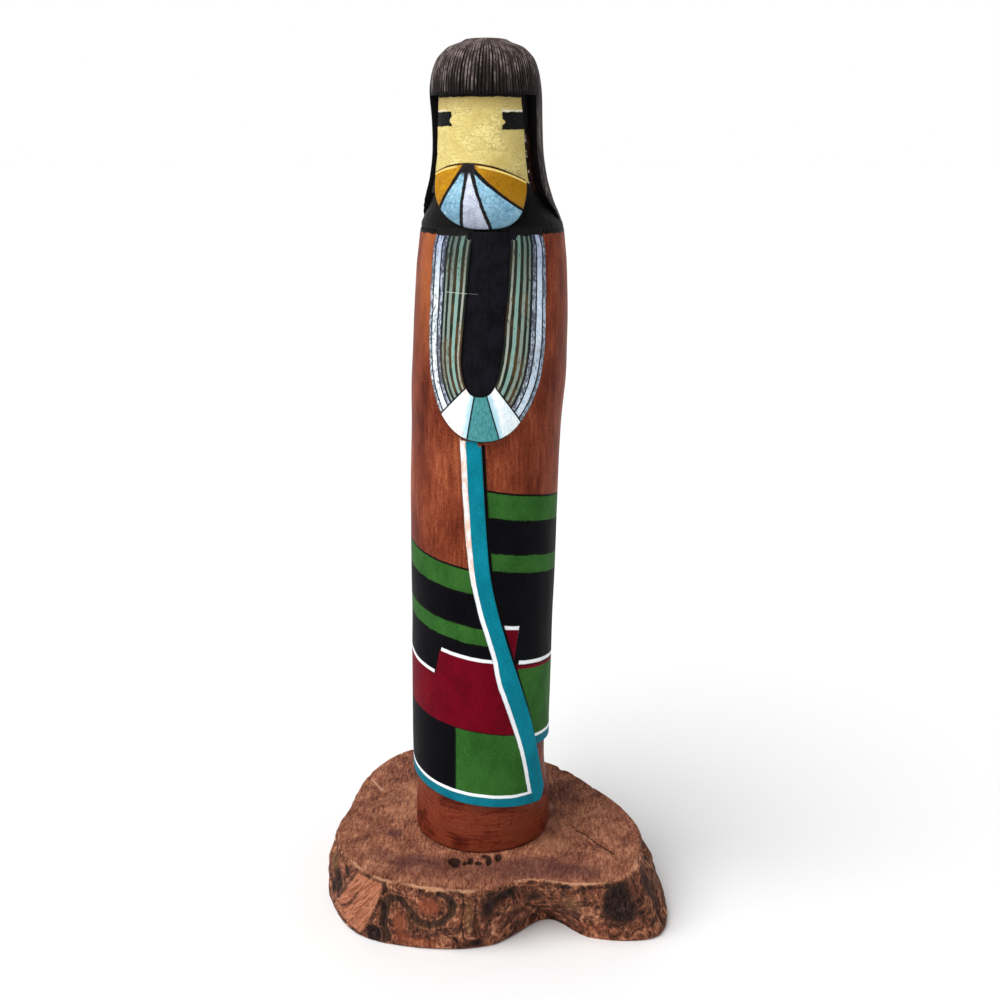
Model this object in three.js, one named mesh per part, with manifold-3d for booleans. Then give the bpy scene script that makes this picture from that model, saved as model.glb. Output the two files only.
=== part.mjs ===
// A carved and painted kachina doll standing on a slab of root wood.
// The doll is one carving: a round trunk with a blanket wrapped round it in low relief, a necklace,
// and a head with a fringe of combed hair, a flat-cheeked face and a fan-shaped beard.
// Millimetres, +Z up, the doll faces -Y. The origin is on the underside of the slab, below the doll.
// Angles are in degrees, measured round the doll from its front, growing towards +X.

import * as THREE from "three";
import { mergeVertices } from "three/addons/utils/BufferGeometryUtils.js";
import Module from "manifold-3d";

const wasm = await Module();
wasm.setup();

// Driving dimensions
const DOLL_HEIGHT = 232; // from the top of the slab to the crown
const TRUNK_DIAMETER = 39.2; // the round billet below the blanket
const HEAD_DIAMETER = 30; // across the hair at eye level
const SLAB_LENGTH = 110; // left to right, over the flared foot of the slab
const SLAB_DEPTH = 86; // front to back
const SLAB_THICKNESS = 22;
const CLOTH = 1.2; // one layer of the carved blanket
const NECKLACE_RELIEF = 1.0;
const CHEST_RELIEF = 0.4; // the dark field inside the necklace
const FACE_SET_BACK = 1.1; // the face lies below the fringe
const TEMPLE_SET_BACK = 2.2; // the dark strip between face and hair
const TEMPLE_SHALLOW = 0.15; // and where it runs out at the shoulders
const BEARD_RELIEF = 0.6; // at the beard's lower end
const BEARD_BULGE = 1.1; // further out, half way up
const HAIR_GROOVE = 0.35; // depth of the combed grooves
const HAIR_GROOVES = 60;
const SLAB_RIM = 1.2; // worn edge round the slab's top

// Shares of DOLL_HEIGHT
const HAIR_BOTTOM = 0.789;
const FRINGE = 0.937;
const CHEEK_BOTTOM = 0.83; // hidden behind the beard
const BEARD_TOP = 0.8625;
const BEARD_BOTTOM = 0.79;
const BEARD_HEM_RISE = 0.052; // what the hem climbs from its lowest point to either end
const BEARD_ARCH = 0.0000052; // how fast the top falls from its highest point, for each degree squared
const TEMPLE_FLARE_TOP = 0.84; // below this the dark strip widens and comes forward

// Directions, in degrees round the doll
const HEAD_TURN = -8.5;
const NECKLACE_CENTRE = 1.2;
const FACE_LEFT = -62; // edges of the cheeks, from the middle of the face
const FACE_RIGHT = 58;
const TEMPLE_HALF_ANGLE = 74; // edge of the dark strip beside the cheeks
const TEMPLE_FLARE = 14; // what the strip gains on either side down to the shoulders
const BEARD_CENTRE = 4; // the beard's lowest point, from the middle of the face
const BEARD_LEFT = { hem: 50, top: 58, square: 2.3 }; // half widths and how square the hem's corner is
const BEARD_RIGHT = { hem: 47.2, top: 47.2, square: 3.3 };
const BEARD_TOP_TURN = -9.5; // the highest point of the beard's arch, from the middle of the face
const BACK_SEAM = 200; // where the two halves of the blanket's mesh meet

// The trunk from the foot to the shoulders: share of the height, share of the diameter,
// and the sideways bow of the natural root as a share of the diameter.
const TRUNK = [
  [0.0, 1.062, -0.035],
  [0.034, 1.05, -0.035],
  [0.099, 0.985, -0.039],
  [0.207, 0.99, -0.034],
  [0.336, 0.998, -0.02],
  [0.453, 1.007, -0.008],
  [0.586, 1.005, 0.018],
  [0.681, 0.985, 0.036],
  [0.75, 0.947, 0.045],
  [0.785, 0.9, 0.049],
  [0.81, 0.84, 0.052],
];

// The hair from the shoulders to the crown: share of the height, share of the head's diameter, bow.
const HAIR = [
  [0.789, 1.32, 0.065],
  [0.8, 1.285, 0.055],
  [0.82, 1.19, 0.035],
  [0.845, 1.08, 0.03],
  [0.875, 1.014, 0.026],
  [0.91, 0.996, 0.019],
  [0.942, 1.005, 0.008],
  [0.962, 0.965, 0.008],
  [0.978, 0.87, 0.01],
  [0.99, 0.68, 0.01],
  [0.9975, 0.4, 0.01],
];

const radians = THREE.MathUtils.degToRad;
const lerp = THREE.MathUtils.lerp;

// A smooth reading of a table of stations: the columns after the first, at x.
function stationsAt(stations, x) {
  const last = stations.length - 1;
  const at = Math.min(Math.max(x, stations[0][0]), stations[last][0]);
  let i = 0;
  while (i < last - 1 && at > stations[i + 1][0]) i += 1;
  const t = (at - stations[i][0]) / (stations[i + 1][0] - stations[i][0]);
  return stations[i].slice(1).map((value, k) => {
    const before = stations[Math.max(i - 1, 0)][k + 1];
    const next = stations[i + 1][k + 1];
    const after = stations[Math.min(i + 2, last)][k + 1];
    return new THREE.CubicBezierCurve(
      new THREE.Vector2(0, value),
      new THREE.Vector2(1, value + (next - before) / 6),
      new THREE.Vector2(2, next - (after - value) / 6),
      new THREE.Vector2(3, next),
    ).getPoint(t).y;
  });
}

// The trunk's radius and sideways bow at a height.
function trunkAt(height) {
  const [width, bow] = stationsAt(TRUNK, height / DOLL_HEIGHT);
  return { radius: (width * TRUNK_DIAMETER) / 2, bow: bow * TRUNK_DIAMETER };
}

function hairAt(height) {
  const [width, bow] = stationsAt(HAIR, height / DOLL_HEIGHT);
  return { radius: (width * HEAD_DIAMETER) / 2, bow: bow * HEAD_DIAMETER };
}

// A point at an angle round the doll, at a height and at a radius from the bowed axis.
function pointRound(angle, height, radius, bow) {
  const a = radians(angle);
  return new THREE.Vector3(bow + radius * Math.sin(a), -radius * Math.cos(a), height);
}

function toSolid(geometry) {
  const bare = geometry.index ? geometry.toNonIndexed() : geometry.clone();
  bare.deleteAttribute("normal");
  bare.deleteAttribute("uv");
  const merged = mergeVertices(bare, 1e-4);
  const solid = new wasm.Manifold(
    new wasm.Mesh({
      numProp: 3,
      vertProperties: new Float32Array(merged.attributes.position.array),
      triVerts: new Uint32Array(merged.index.array),
    }),
  );
  return solid;
}

function toGeometry(solid) {
  const mesh = solid.getMesh();
  const geometry = new THREE.BufferGeometry();
  geometry.setAttribute("position", new THREE.BufferAttribute(mesh.vertProperties, 3));
  geometry.setIndex(new THREE.BufferAttribute(mesh.triVerts, 1));
  return geometry;
}

function geometryOf(points, faces) {
  const geometry = new THREE.BufferGeometry().setFromPoints(points);
  geometry.setIndex(faces.flat());
  return geometry;
}

// A closed body through rings of points, from the lowest up, with a flat cap at each end.
function loft(rings) {
  const count = rings[0].length;
  const points = rings.flat();
  const faces = [];
  for (let row = 0; row < rings.length - 1; row += 1) {
    for (let i = 0; i < count; i += 1) {
      const a = row * count + i;
      const b = row * count + ((i + 1) % count);
      faces.push([a, b, b + count], [a, b + count, a + count]);
    }
  }
  const middle = (ring) => ring.reduce((sum, p) => sum.add(p), new THREE.Vector3()).divideScalar(count);
  const low = points.push(middle(rings[0])) - 1;
  const high = points.push(middle(rings[rings.length - 1])) - 1;
  const top = (rings.length - 1) * count;
  for (let i = 0; i < count; i += 1) {
    const next = (i + 1) % count;
    faces.push([low, next, i], [high, top + i, top + next]);
  }
  return toSolid(geometryOf(points, faces));
}

// A closed plate between two skins: outer(u, v) and inner(u, v), with u and v from 0 to 1.
// u grows anticlockwise seen from above and v grows upwards.
function plate(outer, inner, columns, rows) {
  const points = [];
  const faces = [];
  const at = (skin, i, j) => skin * (columns + 1) * (rows + 1) + j * (columns + 1) + i;
  for (const skin of [outer, inner]) {
    for (let j = 0; j <= rows; j += 1) {
      for (let i = 0; i <= columns; i += 1) points.push(skin(i / columns, j / rows));
    }
  }
  const quad = (a, b, c, d) => faces.push([a, b, c], [a, c, d]);
  for (let j = 0; j < rows; j += 1) {
    for (let i = 0; i < columns; i += 1) {
      quad(at(0, i, j), at(0, i + 1, j), at(0, i + 1, j + 1), at(0, i, j + 1));
      quad(at(1, i, j), at(1, i, j + 1), at(1, i + 1, j + 1), at(1, i + 1, j));
    }
  }
  for (let i = 0; i < columns; i += 1) {
    quad(at(1, i, 0), at(1, i + 1, 0), at(0, i + 1, 0), at(0, i, 0));
    quad(at(0, i, rows), at(0, i + 1, rows), at(1, i + 1, rows), at(1, i, rows));
  }
  for (let j = 0; j < rows; j += 1) {
    quad(at(1, 0, j + 1), at(1, 0, j), at(0, 0, j), at(0, 0, j + 1));
    quad(at(0, columns, j + 1), at(0, columns, j), at(1, columns, j), at(1, columns, j + 1));
  }
  return toSolid(geometryOf(points, faces));
}

function trunk() {
  const sides = 48;
  const rings = [];
  const heights = [0, 0.012, 0.034, 0.065, 0.099, 0.15, 0.25, 0.35, 0.45, 0.55, 0.64, 0.7, 0.75, 0.785, 0.81];
  for (const share of heights) {
    const height = share * DOLL_HEIGHT;
    const { radius, bow } = trunkAt(height);
    const ring = [];
    for (let i = 0; i < sides; i += 1) ring.push(pointRound((360 * i) / sides, height, radius, bow));
    rings.push(ring);
  }
  return loft(rings);
}

// The blanket is wound once round the trunk and on across the front. Its own angle runs from 0 at
// the doll's front, round by +X and the back, and past 360 where the flap lies over the first turn.
const HEM_HEIGHT = 0.15 * DOLL_HEIGHT;
const HEM_DROP = 0.000216 * DOLL_HEIGHT; // for each degree of winding
const EDGE_TOP = 0.547 * DOLL_HEIGHT; // where the flap's edge comes out under the necklace
const EDGE_RUN = 0.483 * DOLL_HEIGHT; // from there down to the hem
const EDGE_STEEP = 25; // degrees that the flap's edge moves sideways at an even rate
const EDGE_SWEEP = 37.5; // further degrees, from where the edge begins to swing out
const EDGE_TURN = 0.29; // the share of its run where that begins
const FLAP_CORNER = 0.02 * DOLL_HEIGHT; // rounding where the flap's edge meets the hem
const HIDDEN_LAP = 8; // degrees that the first turn starts under the flap
const SEAM_OVERLAP = 2;

function hemAt(winding) {
  return HEM_HEIGHT - HEM_DROP * winding;
}

// How far round the flap's edge lies at a height, past the doll's front.
function flapEdgeAt(height) {
  const q = Math.max((EDGE_TOP - height) / EDGE_RUN, 0);
  return EDGE_STEEP * q + EDGE_SWEEP * THREE.MathUtils.smoothstep(q, EDGE_TURN, 1);
}

// How many layers deep the blanket is. Both turns run flush into the shoulders above the flap's edge.
function layersAt(winding, height) {
  const flush = THREE.MathUtils.smoothstep(height, EDGE_TOP, EDGE_TOP + 0.08 * DOLL_HEIGHT);
  return lerp(1 + winding / 360, 2, flush);
}

// One half of the blanket, from one winding angle to another, as a plate sunk into the trunk.
function blanketHalf(from, to, columns, rows) {
  const top = HAIR_BOTTOM * DOLL_HEIGHT;
  const place = (u, v) => {
    let winding = lerp(from(top), to(top), u);
    let height = top;
    for (let pass = 0; pass < 6; pass += 1) {
      height = lerp(hemAt(winding), top, v);
      winding = lerp(from(height), to(height), u);
    }
    const nearCorner = Math.max(1 - (1 - u) * columns * 0.5, 0) * Math.max(1 - v * rows * 0.5, 0);
    const round = to === flapEdge ? FLAP_CORNER * nearCorner : 0;
    return { winding, height: height + round };
  };
  const skin = (layer) => (u, v) => {
    const { winding, height } = place(u, v);
    const { radius, bow } = trunkAt(height);
    const cloth = layer ? layersAt(winding, height) : -1;
    return pointRound(winding, height, radius + cloth * CLOTH, bow);
  };
  return plate(skin(1), skin(0), columns, rows);
}

const flapEdge = (height) => 360 + flapEdgeAt(height);
const hiddenEdge = (height) => flapEdgeAt(height) - HIDDEN_LAP;

function blanket() {
  const right = blanketHalf(hiddenEdge, () => BACK_SEAM, 22, 12);
  const left = blanketHalf(() => BACK_SEAM - SEAM_OVERLAP, flapEdge, 26, 14);
  return right.add(left);
}

// The chest under the necklace: a smooth surface over the flap's edge, from one turn to the other.
const CHEST_BLEND = 40; // degrees

function chestAt(height, angle) {
  const { radius, bow } = trunkAt(height);
  const overEdge = THREE.MathUtils.smoothstep(angle, 0, CHEST_BLEND);
  const layers = lerp(layersAt(360, height), layersAt(angle, height), overEdge);
  return { radius: radius + CLOTH * layers, bow };
}

// The necklace is a U-shaped band. Outside and inside are rounded U shapes: straight legs above a
// bend whose squareness is 2 on an ellipse. The dark field inside it leans to the left on its way down.
const NECKLACE_OUTER = { half: 44.6, legs: 0.681 * DOLL_HEIGHT, drop: 0.132 * DOLL_HEIGHT, square: 2.2 };
const NECKLACE_INNER = { half: 13.7, legs: 0.668 * DOLL_HEIGHT, drop: 0.064 * DOLL_HEIGHT, square: 2.6 };
const NECKLACE_TOP = (HAIR_BOTTOM + 0.004) * DOLL_HEIGHT;
const LEG_SHARE = 0.28; // of the band's length, in each leg
const FIELD_LOW_TURN = -3.2; // the middle of the field at its bottom, from the necklace's middle
const FIELD_LEAN = 0.17; // degrees to the right for each millimetre further up
const FIELD_STRAIGHT = 0.03; // share of the height, from the legs down to where the leaning ends
const FIELD_WIDENING = 1.3; // the field runs in under the band on either side

function fieldMiddleAt(height) {
  const straightBelow = NECKLACE_INNER.legs - FIELD_STRAIGHT * DOLL_HEIGHT;
  return FIELD_LOW_TURN + FIELD_LEAN * Math.max(height - straightBelow, 0);
}

// A point of a U: share 0 is the top of the right leg, 0.5 the bottom and 1 the top of the left leg.
function necklacePoint(u, share) {
  const leg = Math.max(1 - Math.min(share, 1 - share) / LEG_SHARE, 0);
  const turn = Math.PI * THREE.MathUtils.clamp((share - LEG_SHARE) / (1 - 2 * LEG_SHARE), 0, 1);
  const across = Math.sign(Math.cos(turn)) * Math.abs(Math.cos(turn)) ** (2 / u.square);
  const down = Math.sin(turn) ** (2 / u.square);
  return { angle: u.half * across, height: u.legs - u.drop * down + (NECKLACE_TOP - u.legs) * leg };
}

// The band's relief dies away at its top, where it runs in under the head.
function necklaceRelief(height) {
  return NECKLACE_RELIEF * (1 - THREE.MathUtils.smoothstep(height, NECKLACE_TOP - 4 * CLOTH, NECKLACE_TOP));
}

function necklace() {
  const skin = (outside) => (u, v) => {
    const inside = necklacePoint(NECKLACE_INNER, 1 - u);
    const outer = necklacePoint(NECKLACE_OUTER, 1 - u);
    const angle = NECKLACE_CENTRE + lerp(outer.angle, fieldMiddleAt(inside.height) + inside.angle, v);
    const height = lerp(outer.height, inside.height, v);
    const { radius, bow } = chestAt(height, angle);
    return pointRound(angle, height, radius + (outside ? necklaceRelief(height) : -2 * CLOTH), bow);
  };
  return plate(skin(true), skin(false), 44, 3);
}

function chest() {
  const low = NECKLACE_INNER.legs - NECKLACE_INNER.drop;
  const skin = (relief) => (u, v) => {
    const height = lerp(low - CLOTH, HAIR_BOTTOM * DOLL_HEIGHT, v);
    const half = FIELD_WIDENING * NECKLACE_INNER.half;
    const angle = NECKLACE_CENTRE + fieldMiddleAt(height) + lerp(-half, half, u);
    const { radius, bow } = chestAt(height, angle);
    return pointRound(angle, height, radius + relief, bow);
  };
  return plate(skin(CHEST_RELIEF), skin(-2 * CLOTH), 6, 6);
}

// The hair is one fluted body from the shoulders to the crown.
function hair() {
  const sides = 2 * HAIR_GROOVES;
  const rings = [];
  for (const share of [0.789, 0.7965, 0.81, 0.83, 0.86, 0.9, 0.945, 0.962, 0.975, 0.986, 0.994, 0.9985]) {
    const { radius, bow } = hairAt(share * DOLL_HEIGHT);
    const groove = HAIR_GROOVE * Math.min(radius / (HEAD_DIAMETER / 2), 1);
    const ring = [];
    for (let i = 0; i < sides; i += 1) {
      const r = radius - (i % 2) * groove;
      ring.push(pointRound(HEAD_TURN + (360 * i) / sides, share * DOLL_HEIGHT, r, bow));
    }
    rings.push(ring);
  }
  const crown = hairAt(DOLL_HEIGHT).bow;
  rings.push(rings[0].map((_, i) => pointRound((360 * i) / sides, DOLL_HEIGHT, HEAD_DIAMETER / 12, crown)));
  return loft(rings);
}

// A curved block in front of the head: its edges in degrees and each skin's distance from the
// hair's own surface are functions of the height.
function headBlock(left, right, low, high, outside, inside, columns, rows) {
  const skin = (offset) => (u, v) => {
    const height = lerp(low, high, v);
    const { radius, bow } = hairAt(height);
    return pointRound(HEAD_TURN + lerp(left(height), right(height), u), height, radius + offset(height), bow);
  };
  return plate(skin(outside), skin(inside), columns, rows);
}

// How deep the cheeks and the beard reach into the head.
const buried = () => -3 * TEMPLE_SET_BACK;

// The beard fans out below the mouth: an arched top, a hem that is squarer on the right, and a bulge.
function beard() {
  const low = BEARD_BOTTOM * DOLL_HEIGHT;
  const reach = (BEARD_TOP - BEARD_BOTTOM) * DOLL_HEIGHT;
  const place = (u, v) => {
    const across = 2 * u - 1;
    const side = across < 0 ? BEARD_LEFT : BEARD_RIGHT;
    const turn = BEARD_CENTRE + lerp(side.hem, side.top, v) * across;
    const hem = low + BEARD_HEM_RISE * DOLL_HEIGHT * Math.abs(across) ** side.square;
    const high = low + reach - BEARD_ARCH * DOLL_HEIGHT * (turn - BEARD_TOP_TURN) ** 2;
    return { angle: HEAD_TURN + turn, height: lerp(hem, high, v) };
  };
  const skin = (offset) => (u, v) => {
    const { angle, height } = place(u, v);
    const { radius, bow } = hairAt(height);
    return pointRound(angle, height, radius + offset((height - low) / reach), bow);
  };
  const bulging = (up) => lerp(BEARD_RELIEF, -FACE_SET_BACK, up) + BEARD_BULGE * 4 * up * (1 - up);
  return plate(skin(bulging), skin(buried), 24, 7);
}

function head() {
  const shoulders = HAIR_BOTTOM * DOLL_HEIGHT;
  const fringe = FRINGE * DOLL_HEIGHT;
  const always = (value) => () => value;
  const above = (height) => THREE.MathUtils.smoothstep(height, shoulders, TEMPLE_FLARE_TOP * DOLL_HEIGHT);
  const temple = (height) => TEMPLE_HALF_ANGLE + TEMPLE_FLARE * (1 - above(height));
  const strip = (height) => -lerp(TEMPLE_SHALLOW, TEMPLE_SET_BACK, above(height));
  const clear = always(HEAD_DIAMETER);
  const window = headBlock((h) => -temple(h), temple, shoulders - CLOTH, fringe, clear, strip, 26, 12);
  const cheek = always(-FACE_SET_BACK);
  const low = CHEEK_BOTTOM * DOLL_HEIGHT;
  const cheeks = headBlock(always(FACE_LEFT), always(FACE_RIGHT), low, fringe, cheek, buried, 20, 8);
  return hair().subtract(window).add(cheeks).add(beard());
}

function doll() {
  return trunk().add(blanket()).add(chest()).add(necklace()).add(head());
}

// The slab's outline as shares of half its length and half its depth, from the right, anticlockwise.
// The top is the sawn face and the foot is where the grown edge meets the table.
const SLAB_TOP = [
  [0.88, -0.12],
  [0.79, 0.21],
  [0.6, 0.55],
  [0.35, 0.88],
  [-0.12, 1.05],
  [-0.55, 1.04],
  [-0.76, 0.65],
  [-0.82, 0.1],
  [-0.84, -0.35],
  [-0.62, -0.78],
  [-0.3, -0.93],
  [0.02, -0.94],
  [0.28, -0.79],
  [0.56, -0.82],
  [0.8, -0.71],
];
const SLAB_FOOT = [
  [1.035, -0.28],
  [0.93, 0.36],
  [0.67, 0.69],
  [0.36, 0.91],
  [-0.12, 1.06],
  [-0.56, 1.06],
  [-0.8, 0.67],
  [-0.915, 0.14],
  [-0.91, -0.26],
  [-0.68, -0.75],
  [-0.34, -0.88],
  [0.06, -0.83],
  [0.38, -0.5],
  [0.62, -0.69],
  [0.975, -0.64],
];

function slab() {
  const sides = 72;
  const closed = (shares, scale) => {
    const points = shares.map(([x, y]) => new THREE.Vector3((x * SLAB_LENGTH) / 2, (y * SLAB_DEPTH) / 2, 0));
    const curve = new THREE.CatmullRomCurve3(points, true, "centripetal");
    return Array.from({ length: sides }, (_, i) => curve.getPoint(i / sides).multiplyScalar(scale));
  };
  const top = closed(SLAB_TOP, 1);
  const foot = closed(SLAB_FOOT, 1);
  // Each row: how far down from the top, how far the outline has moved to the foot's, and a swelling.
  const rows = [
    [1, 1, -1.2],
    [0.9, 0.98, 0],
    [0.62, 0.66, 0.8],
    [0.32, 0.3, 0.8],
    [SLAB_RIM / SLAB_THICKNESS, 0.04, 0],
    [0, 0, -SLAB_RIM],
  ];
  const rings = rows.map(([down, move, swell]) =>
    top.map((p, i) => {
      const at = p.clone().lerp(foot[i], move);
      at.addScaledVector(at.clone().normalize(), swell);
      return at.setZ(SLAB_THICKNESS * (1 - down));
    }),
  );
  return loft(rings);
}

function carvedWood(name, solid, colour, roughness) {
  const material = new THREE.MeshStandardMaterial({ color: colour, roughness, metalness: 0 });
  const mesh = new THREE.Mesh(toGeometry(solid), material);
  mesh.name = name;
  return mesh;
}

const figure = carvedWood("figure", doll(), 0x8c4a30, 0.5);
figure.position.z = SLAB_THICKNESS;

const base = carvedWood("base_slab", slab(), 0x8f5a45, 0.8);

const kachina = new THREE.Group();
kachina.name = "kachina_doll";
kachina.add(base, figure);

export default kachina;
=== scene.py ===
# %% [markdown]
# # A carved kachina doll on a slab of root wood
#
# The real doll is cut from one piece of cottonwood root: a round billet becomes a trunk wrapped in a
# blanket, with a necklace and a head in low relief. It is stained, painted with matt colours and
# stood on a slab of root wood that keeps its grown edge. This lesson builds both pieces as fine
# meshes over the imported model, then paints them with nodes, lights them and sets up the camera.

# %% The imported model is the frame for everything
import math

import bpy
import numpy as np
from mathutils import Matrix, Vector


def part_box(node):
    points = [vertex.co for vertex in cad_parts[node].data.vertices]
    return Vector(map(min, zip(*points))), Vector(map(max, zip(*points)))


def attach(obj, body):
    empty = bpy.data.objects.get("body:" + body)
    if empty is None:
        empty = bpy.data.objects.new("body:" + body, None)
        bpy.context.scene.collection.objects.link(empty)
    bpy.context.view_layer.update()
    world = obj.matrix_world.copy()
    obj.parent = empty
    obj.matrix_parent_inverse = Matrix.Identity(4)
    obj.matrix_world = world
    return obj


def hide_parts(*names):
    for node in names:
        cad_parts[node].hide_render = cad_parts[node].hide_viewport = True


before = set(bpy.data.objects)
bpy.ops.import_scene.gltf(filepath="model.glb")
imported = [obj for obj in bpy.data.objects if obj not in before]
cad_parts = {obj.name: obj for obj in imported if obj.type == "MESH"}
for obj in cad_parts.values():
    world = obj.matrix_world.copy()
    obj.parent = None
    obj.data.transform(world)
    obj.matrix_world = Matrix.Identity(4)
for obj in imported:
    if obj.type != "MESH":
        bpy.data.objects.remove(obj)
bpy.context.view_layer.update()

# %% [markdown]
# ## Sizes
#
# The two solids tell how thick the slab is and how tall the doll is. Most of the doll's form is a
# share of its height or of a width, and the depths of the carving are plain millimetres. Lengths
# are in millimetres until a mesh is made, because a carver thinks in millimetres.

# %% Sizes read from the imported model
MM = 0.001
figure_low, figure_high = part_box("figure")
SLAB_TOP = figure_low.z / MM
DOLL_HEIGHT = (figure_high.z - figure_low.z) / MM
SLAB_LENGTH = 110
SLAB_DEPTH = 86
print(f"slab {SLAB_TOP:.1f} mm thick, doll {DOLL_HEIGHT:.1f} mm tall")


# %% Sizes of the carving
TRUNK_DIAMETER = 39.2
HEAD_DIAMETER = 30
CLOTH = 1.2
NECKLACE_RELIEF = 1.0
CHEST_RELIEF = 0.4
FACE_SET_BACK = 1.1
TEMPLE_SET_BACK = 2.2
# The uneven skin starts this far inside the plain form, so that it doesn't swell past it
SHRINK, HAIR_SHRINK = 0.1, 0.08
HEAD_TURN = -8.5
HAIR_BOTTOM = 0.789 * DOLL_HEIGHT
FRINGE = 0.937 * DOLL_HEIGHT

# Share of the height, share of the diameter, sideways bow as a share of the diameter
TRUNK = np.array([
    (0.0, 1.062, -0.035), (0.034, 1.05, -0.035), (0.099, 0.985, -0.039), (0.207, 0.99, -0.034),
    (0.336, 0.998, -0.02), (0.453, 1.007, -0.008), (0.586, 1.005, 0.018), (0.681, 0.985, 0.036),
    (0.75, 0.947, 0.045), (0.785, 0.9, 0.049), (0.81, 0.84, 0.052),
])
HAIR = np.array([
    (0.789, 1.32, 0.065), (0.8, 1.285, 0.055), (0.82, 1.19, 0.035), (0.845, 1.08, 0.03),
    (0.875, 1.014, 0.026), (0.91, 0.996, 0.019), (0.942, 1.005, 0.008), (0.962, 0.965, 0.008),
    (0.978, 0.87, 0.01), (0.99, 0.68, 0.01), (0.9975, 0.4, 0.01),
])

# %% [markdown]
# A table of stations only gives a few widths. A cubic curve through them, as a carver's eye would
# draw it, gives the width everywhere. NumPy reads the curve at thousands of heights in one go.


# %% Reading a smooth curve through a table
def stations_at(table, share):
    last = len(table) - 1
    x = np.clip(share, table[0, 0], table[-1, 0])
    i = np.clip(np.searchsorted(table[:, 0], x, side="right") - 1, 0, last - 1)
    t = ((x - table[i, 0]) / (table[i + 1, 0] - table[i, 0]))[..., None]
    here, there = table[i, 1:], table[i + 1, 1:]
    before, after = table[np.maximum(i - 1, 0), 1:], table[np.minimum(i + 2, last), 1:]
    leaving = here + (there - before) / 6
    arriving = there - (after - here) / 6
    return (1 - t) ** 3 * here + 3 * (1 - t) ** 2 * t * leaving + 3 * (1 - t) * t**2 * arriving + t**3 * there


def trunk_at(height):
    width, bow = np.moveaxis(stations_at(TRUNK, height / DOLL_HEIGHT), -1, 0)
    return width * TRUNK_DIAMETER / 2, bow * TRUNK_DIAMETER


def hair_at(height):
    width, bow = np.moveaxis(stations_at(HAIR, height / DOLL_HEIGHT), -1, 0)
    return width * HEAD_DIAMETER / 2, bow * HEAD_DIAMETER


def smooth(value, low, high):
    t = np.clip((value - low) / (high - low), 0, 1)
    return t * t * (3 - 2 * t)


print("trunk radius at half height:", np.round(trunk_at(np.array(DOLL_HEIGHT / 2))[0], 2), "mm")

# %% [markdown]
# ## Making meshes from grids of points
#
# Each carved form is easiest to describe as a sheet with two directions, such as round the trunk
# and up it. A grid keeps its edges exactly on the carving's edges, which a sculpted or remeshed
# surface would blur. Two sheets back to back make a plate, and a stack of rings makes a round body.
# Every point can also carry readings, such as how far it is from the blanket's edge. The materials
# use those readings later to paint lines much finer than the mesh.


# %% Points round the doll
def round_the_doll(angle, height, radius, bow):
    turn = np.radians(angle)
    x = bow + radius * np.sin(turn)
    return np.stack(np.broadcast_arrays(x, -radius * np.cos(turn), height + SLAB_TOP), axis=-1)


# %% A closed mesh with readings on its points
def closed_piece(name, points, faces, readings, material):
    mesh = bpy.data.meshes.new(name)
    mesh.from_pydata((points * MM).tolist(), [], faces)
    for reading, values in readings.items():
        layer = mesh.attributes.new(reading, "FLOAT", "POINT")
        layer.data.foreach_set("value", np.asarray(values, dtype=np.float32).ravel())
    mesh.materials.append(material)
    mesh.update()
    piece = bpy.data.objects.new(name, mesh)
    bpy.context.scene.collection.objects.link(piece)
    return piece


# %% A plate between two sheets
def plate(name, outer, inner, readings, material, inner_readings=None):
    rows, columns = outer.shape[:2]
    front = np.arange(rows * columns).reshape(rows, columns)
    back = front + rows * columns
    faces = []

    def quads(a, b, c, d):
        faces.extend(np.stack([a.ravel(), b.ravel(), c.ravel(), d.ravel()], axis=1).tolist())

    quads(front[:-1, :-1], front[:-1, 1:], front[1:, 1:], front[1:, :-1])
    quads(back[:-1, :-1], back[1:, :-1], back[1:, 1:], back[:-1, 1:])
    quads(back[0, :-1], back[0, 1:], front[0, 1:], front[0, :-1])
    quads(front[-1, :-1], front[-1, 1:], back[-1, 1:], back[-1, :-1])
    quads(back[1:, 0], back[:-1, 0], front[:-1, 0], front[1:, 0])
    quads(front[1:, -1], front[:-1, -1], back[:-1, -1], back[1:, -1])
    behind = {**readings, **(inner_readings or {})}
    both = {key: np.concatenate([np.ravel(readings[key]), np.ravel(behind[key])]) for key in readings}
    points = np.concatenate([outer.reshape(-1, 3), inner.reshape(-1, 3)])
    return closed_piece(name, points, faces, both, material)


# %% A round body from a stack of rings
def round_body(name, rings, readings, material):
    rows, columns = rings.shape[:2]
    index = np.arange(rows * columns).reshape(rows, columns)
    beside = np.roll(index, -1, axis=1)
    sides = np.stack([index[:-1], beside[:-1], beside[1:], index[1:]], axis=-1).reshape(-1, 4).tolist()
    low, high = rows * columns, rows * columns + 1
    bottom = np.stack([np.full(columns, low), beside[0], index[0]], axis=1).tolist()
    top = np.stack([np.full(columns, high), index[-1], beside[-1]], axis=1).tolist()
    points = np.concatenate([rings.reshape(-1, 3), [rings[0].mean(axis=0)], [rings[-1].mean(axis=0)]])
    values = {k: np.concatenate([np.ravel(v), [v[0].mean(), v[-1].mean()]]) for k, v in readings.items()}
    return closed_piece(name, points, sides + bottom + top, values, material)


# %% [markdown]
# Nothing made by hand is perfectly even. Adding up a few long soft waves in chosen directions gives
# a gentle unevenness that is the same on every run, since the random choices come from a fixed seed.


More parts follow.
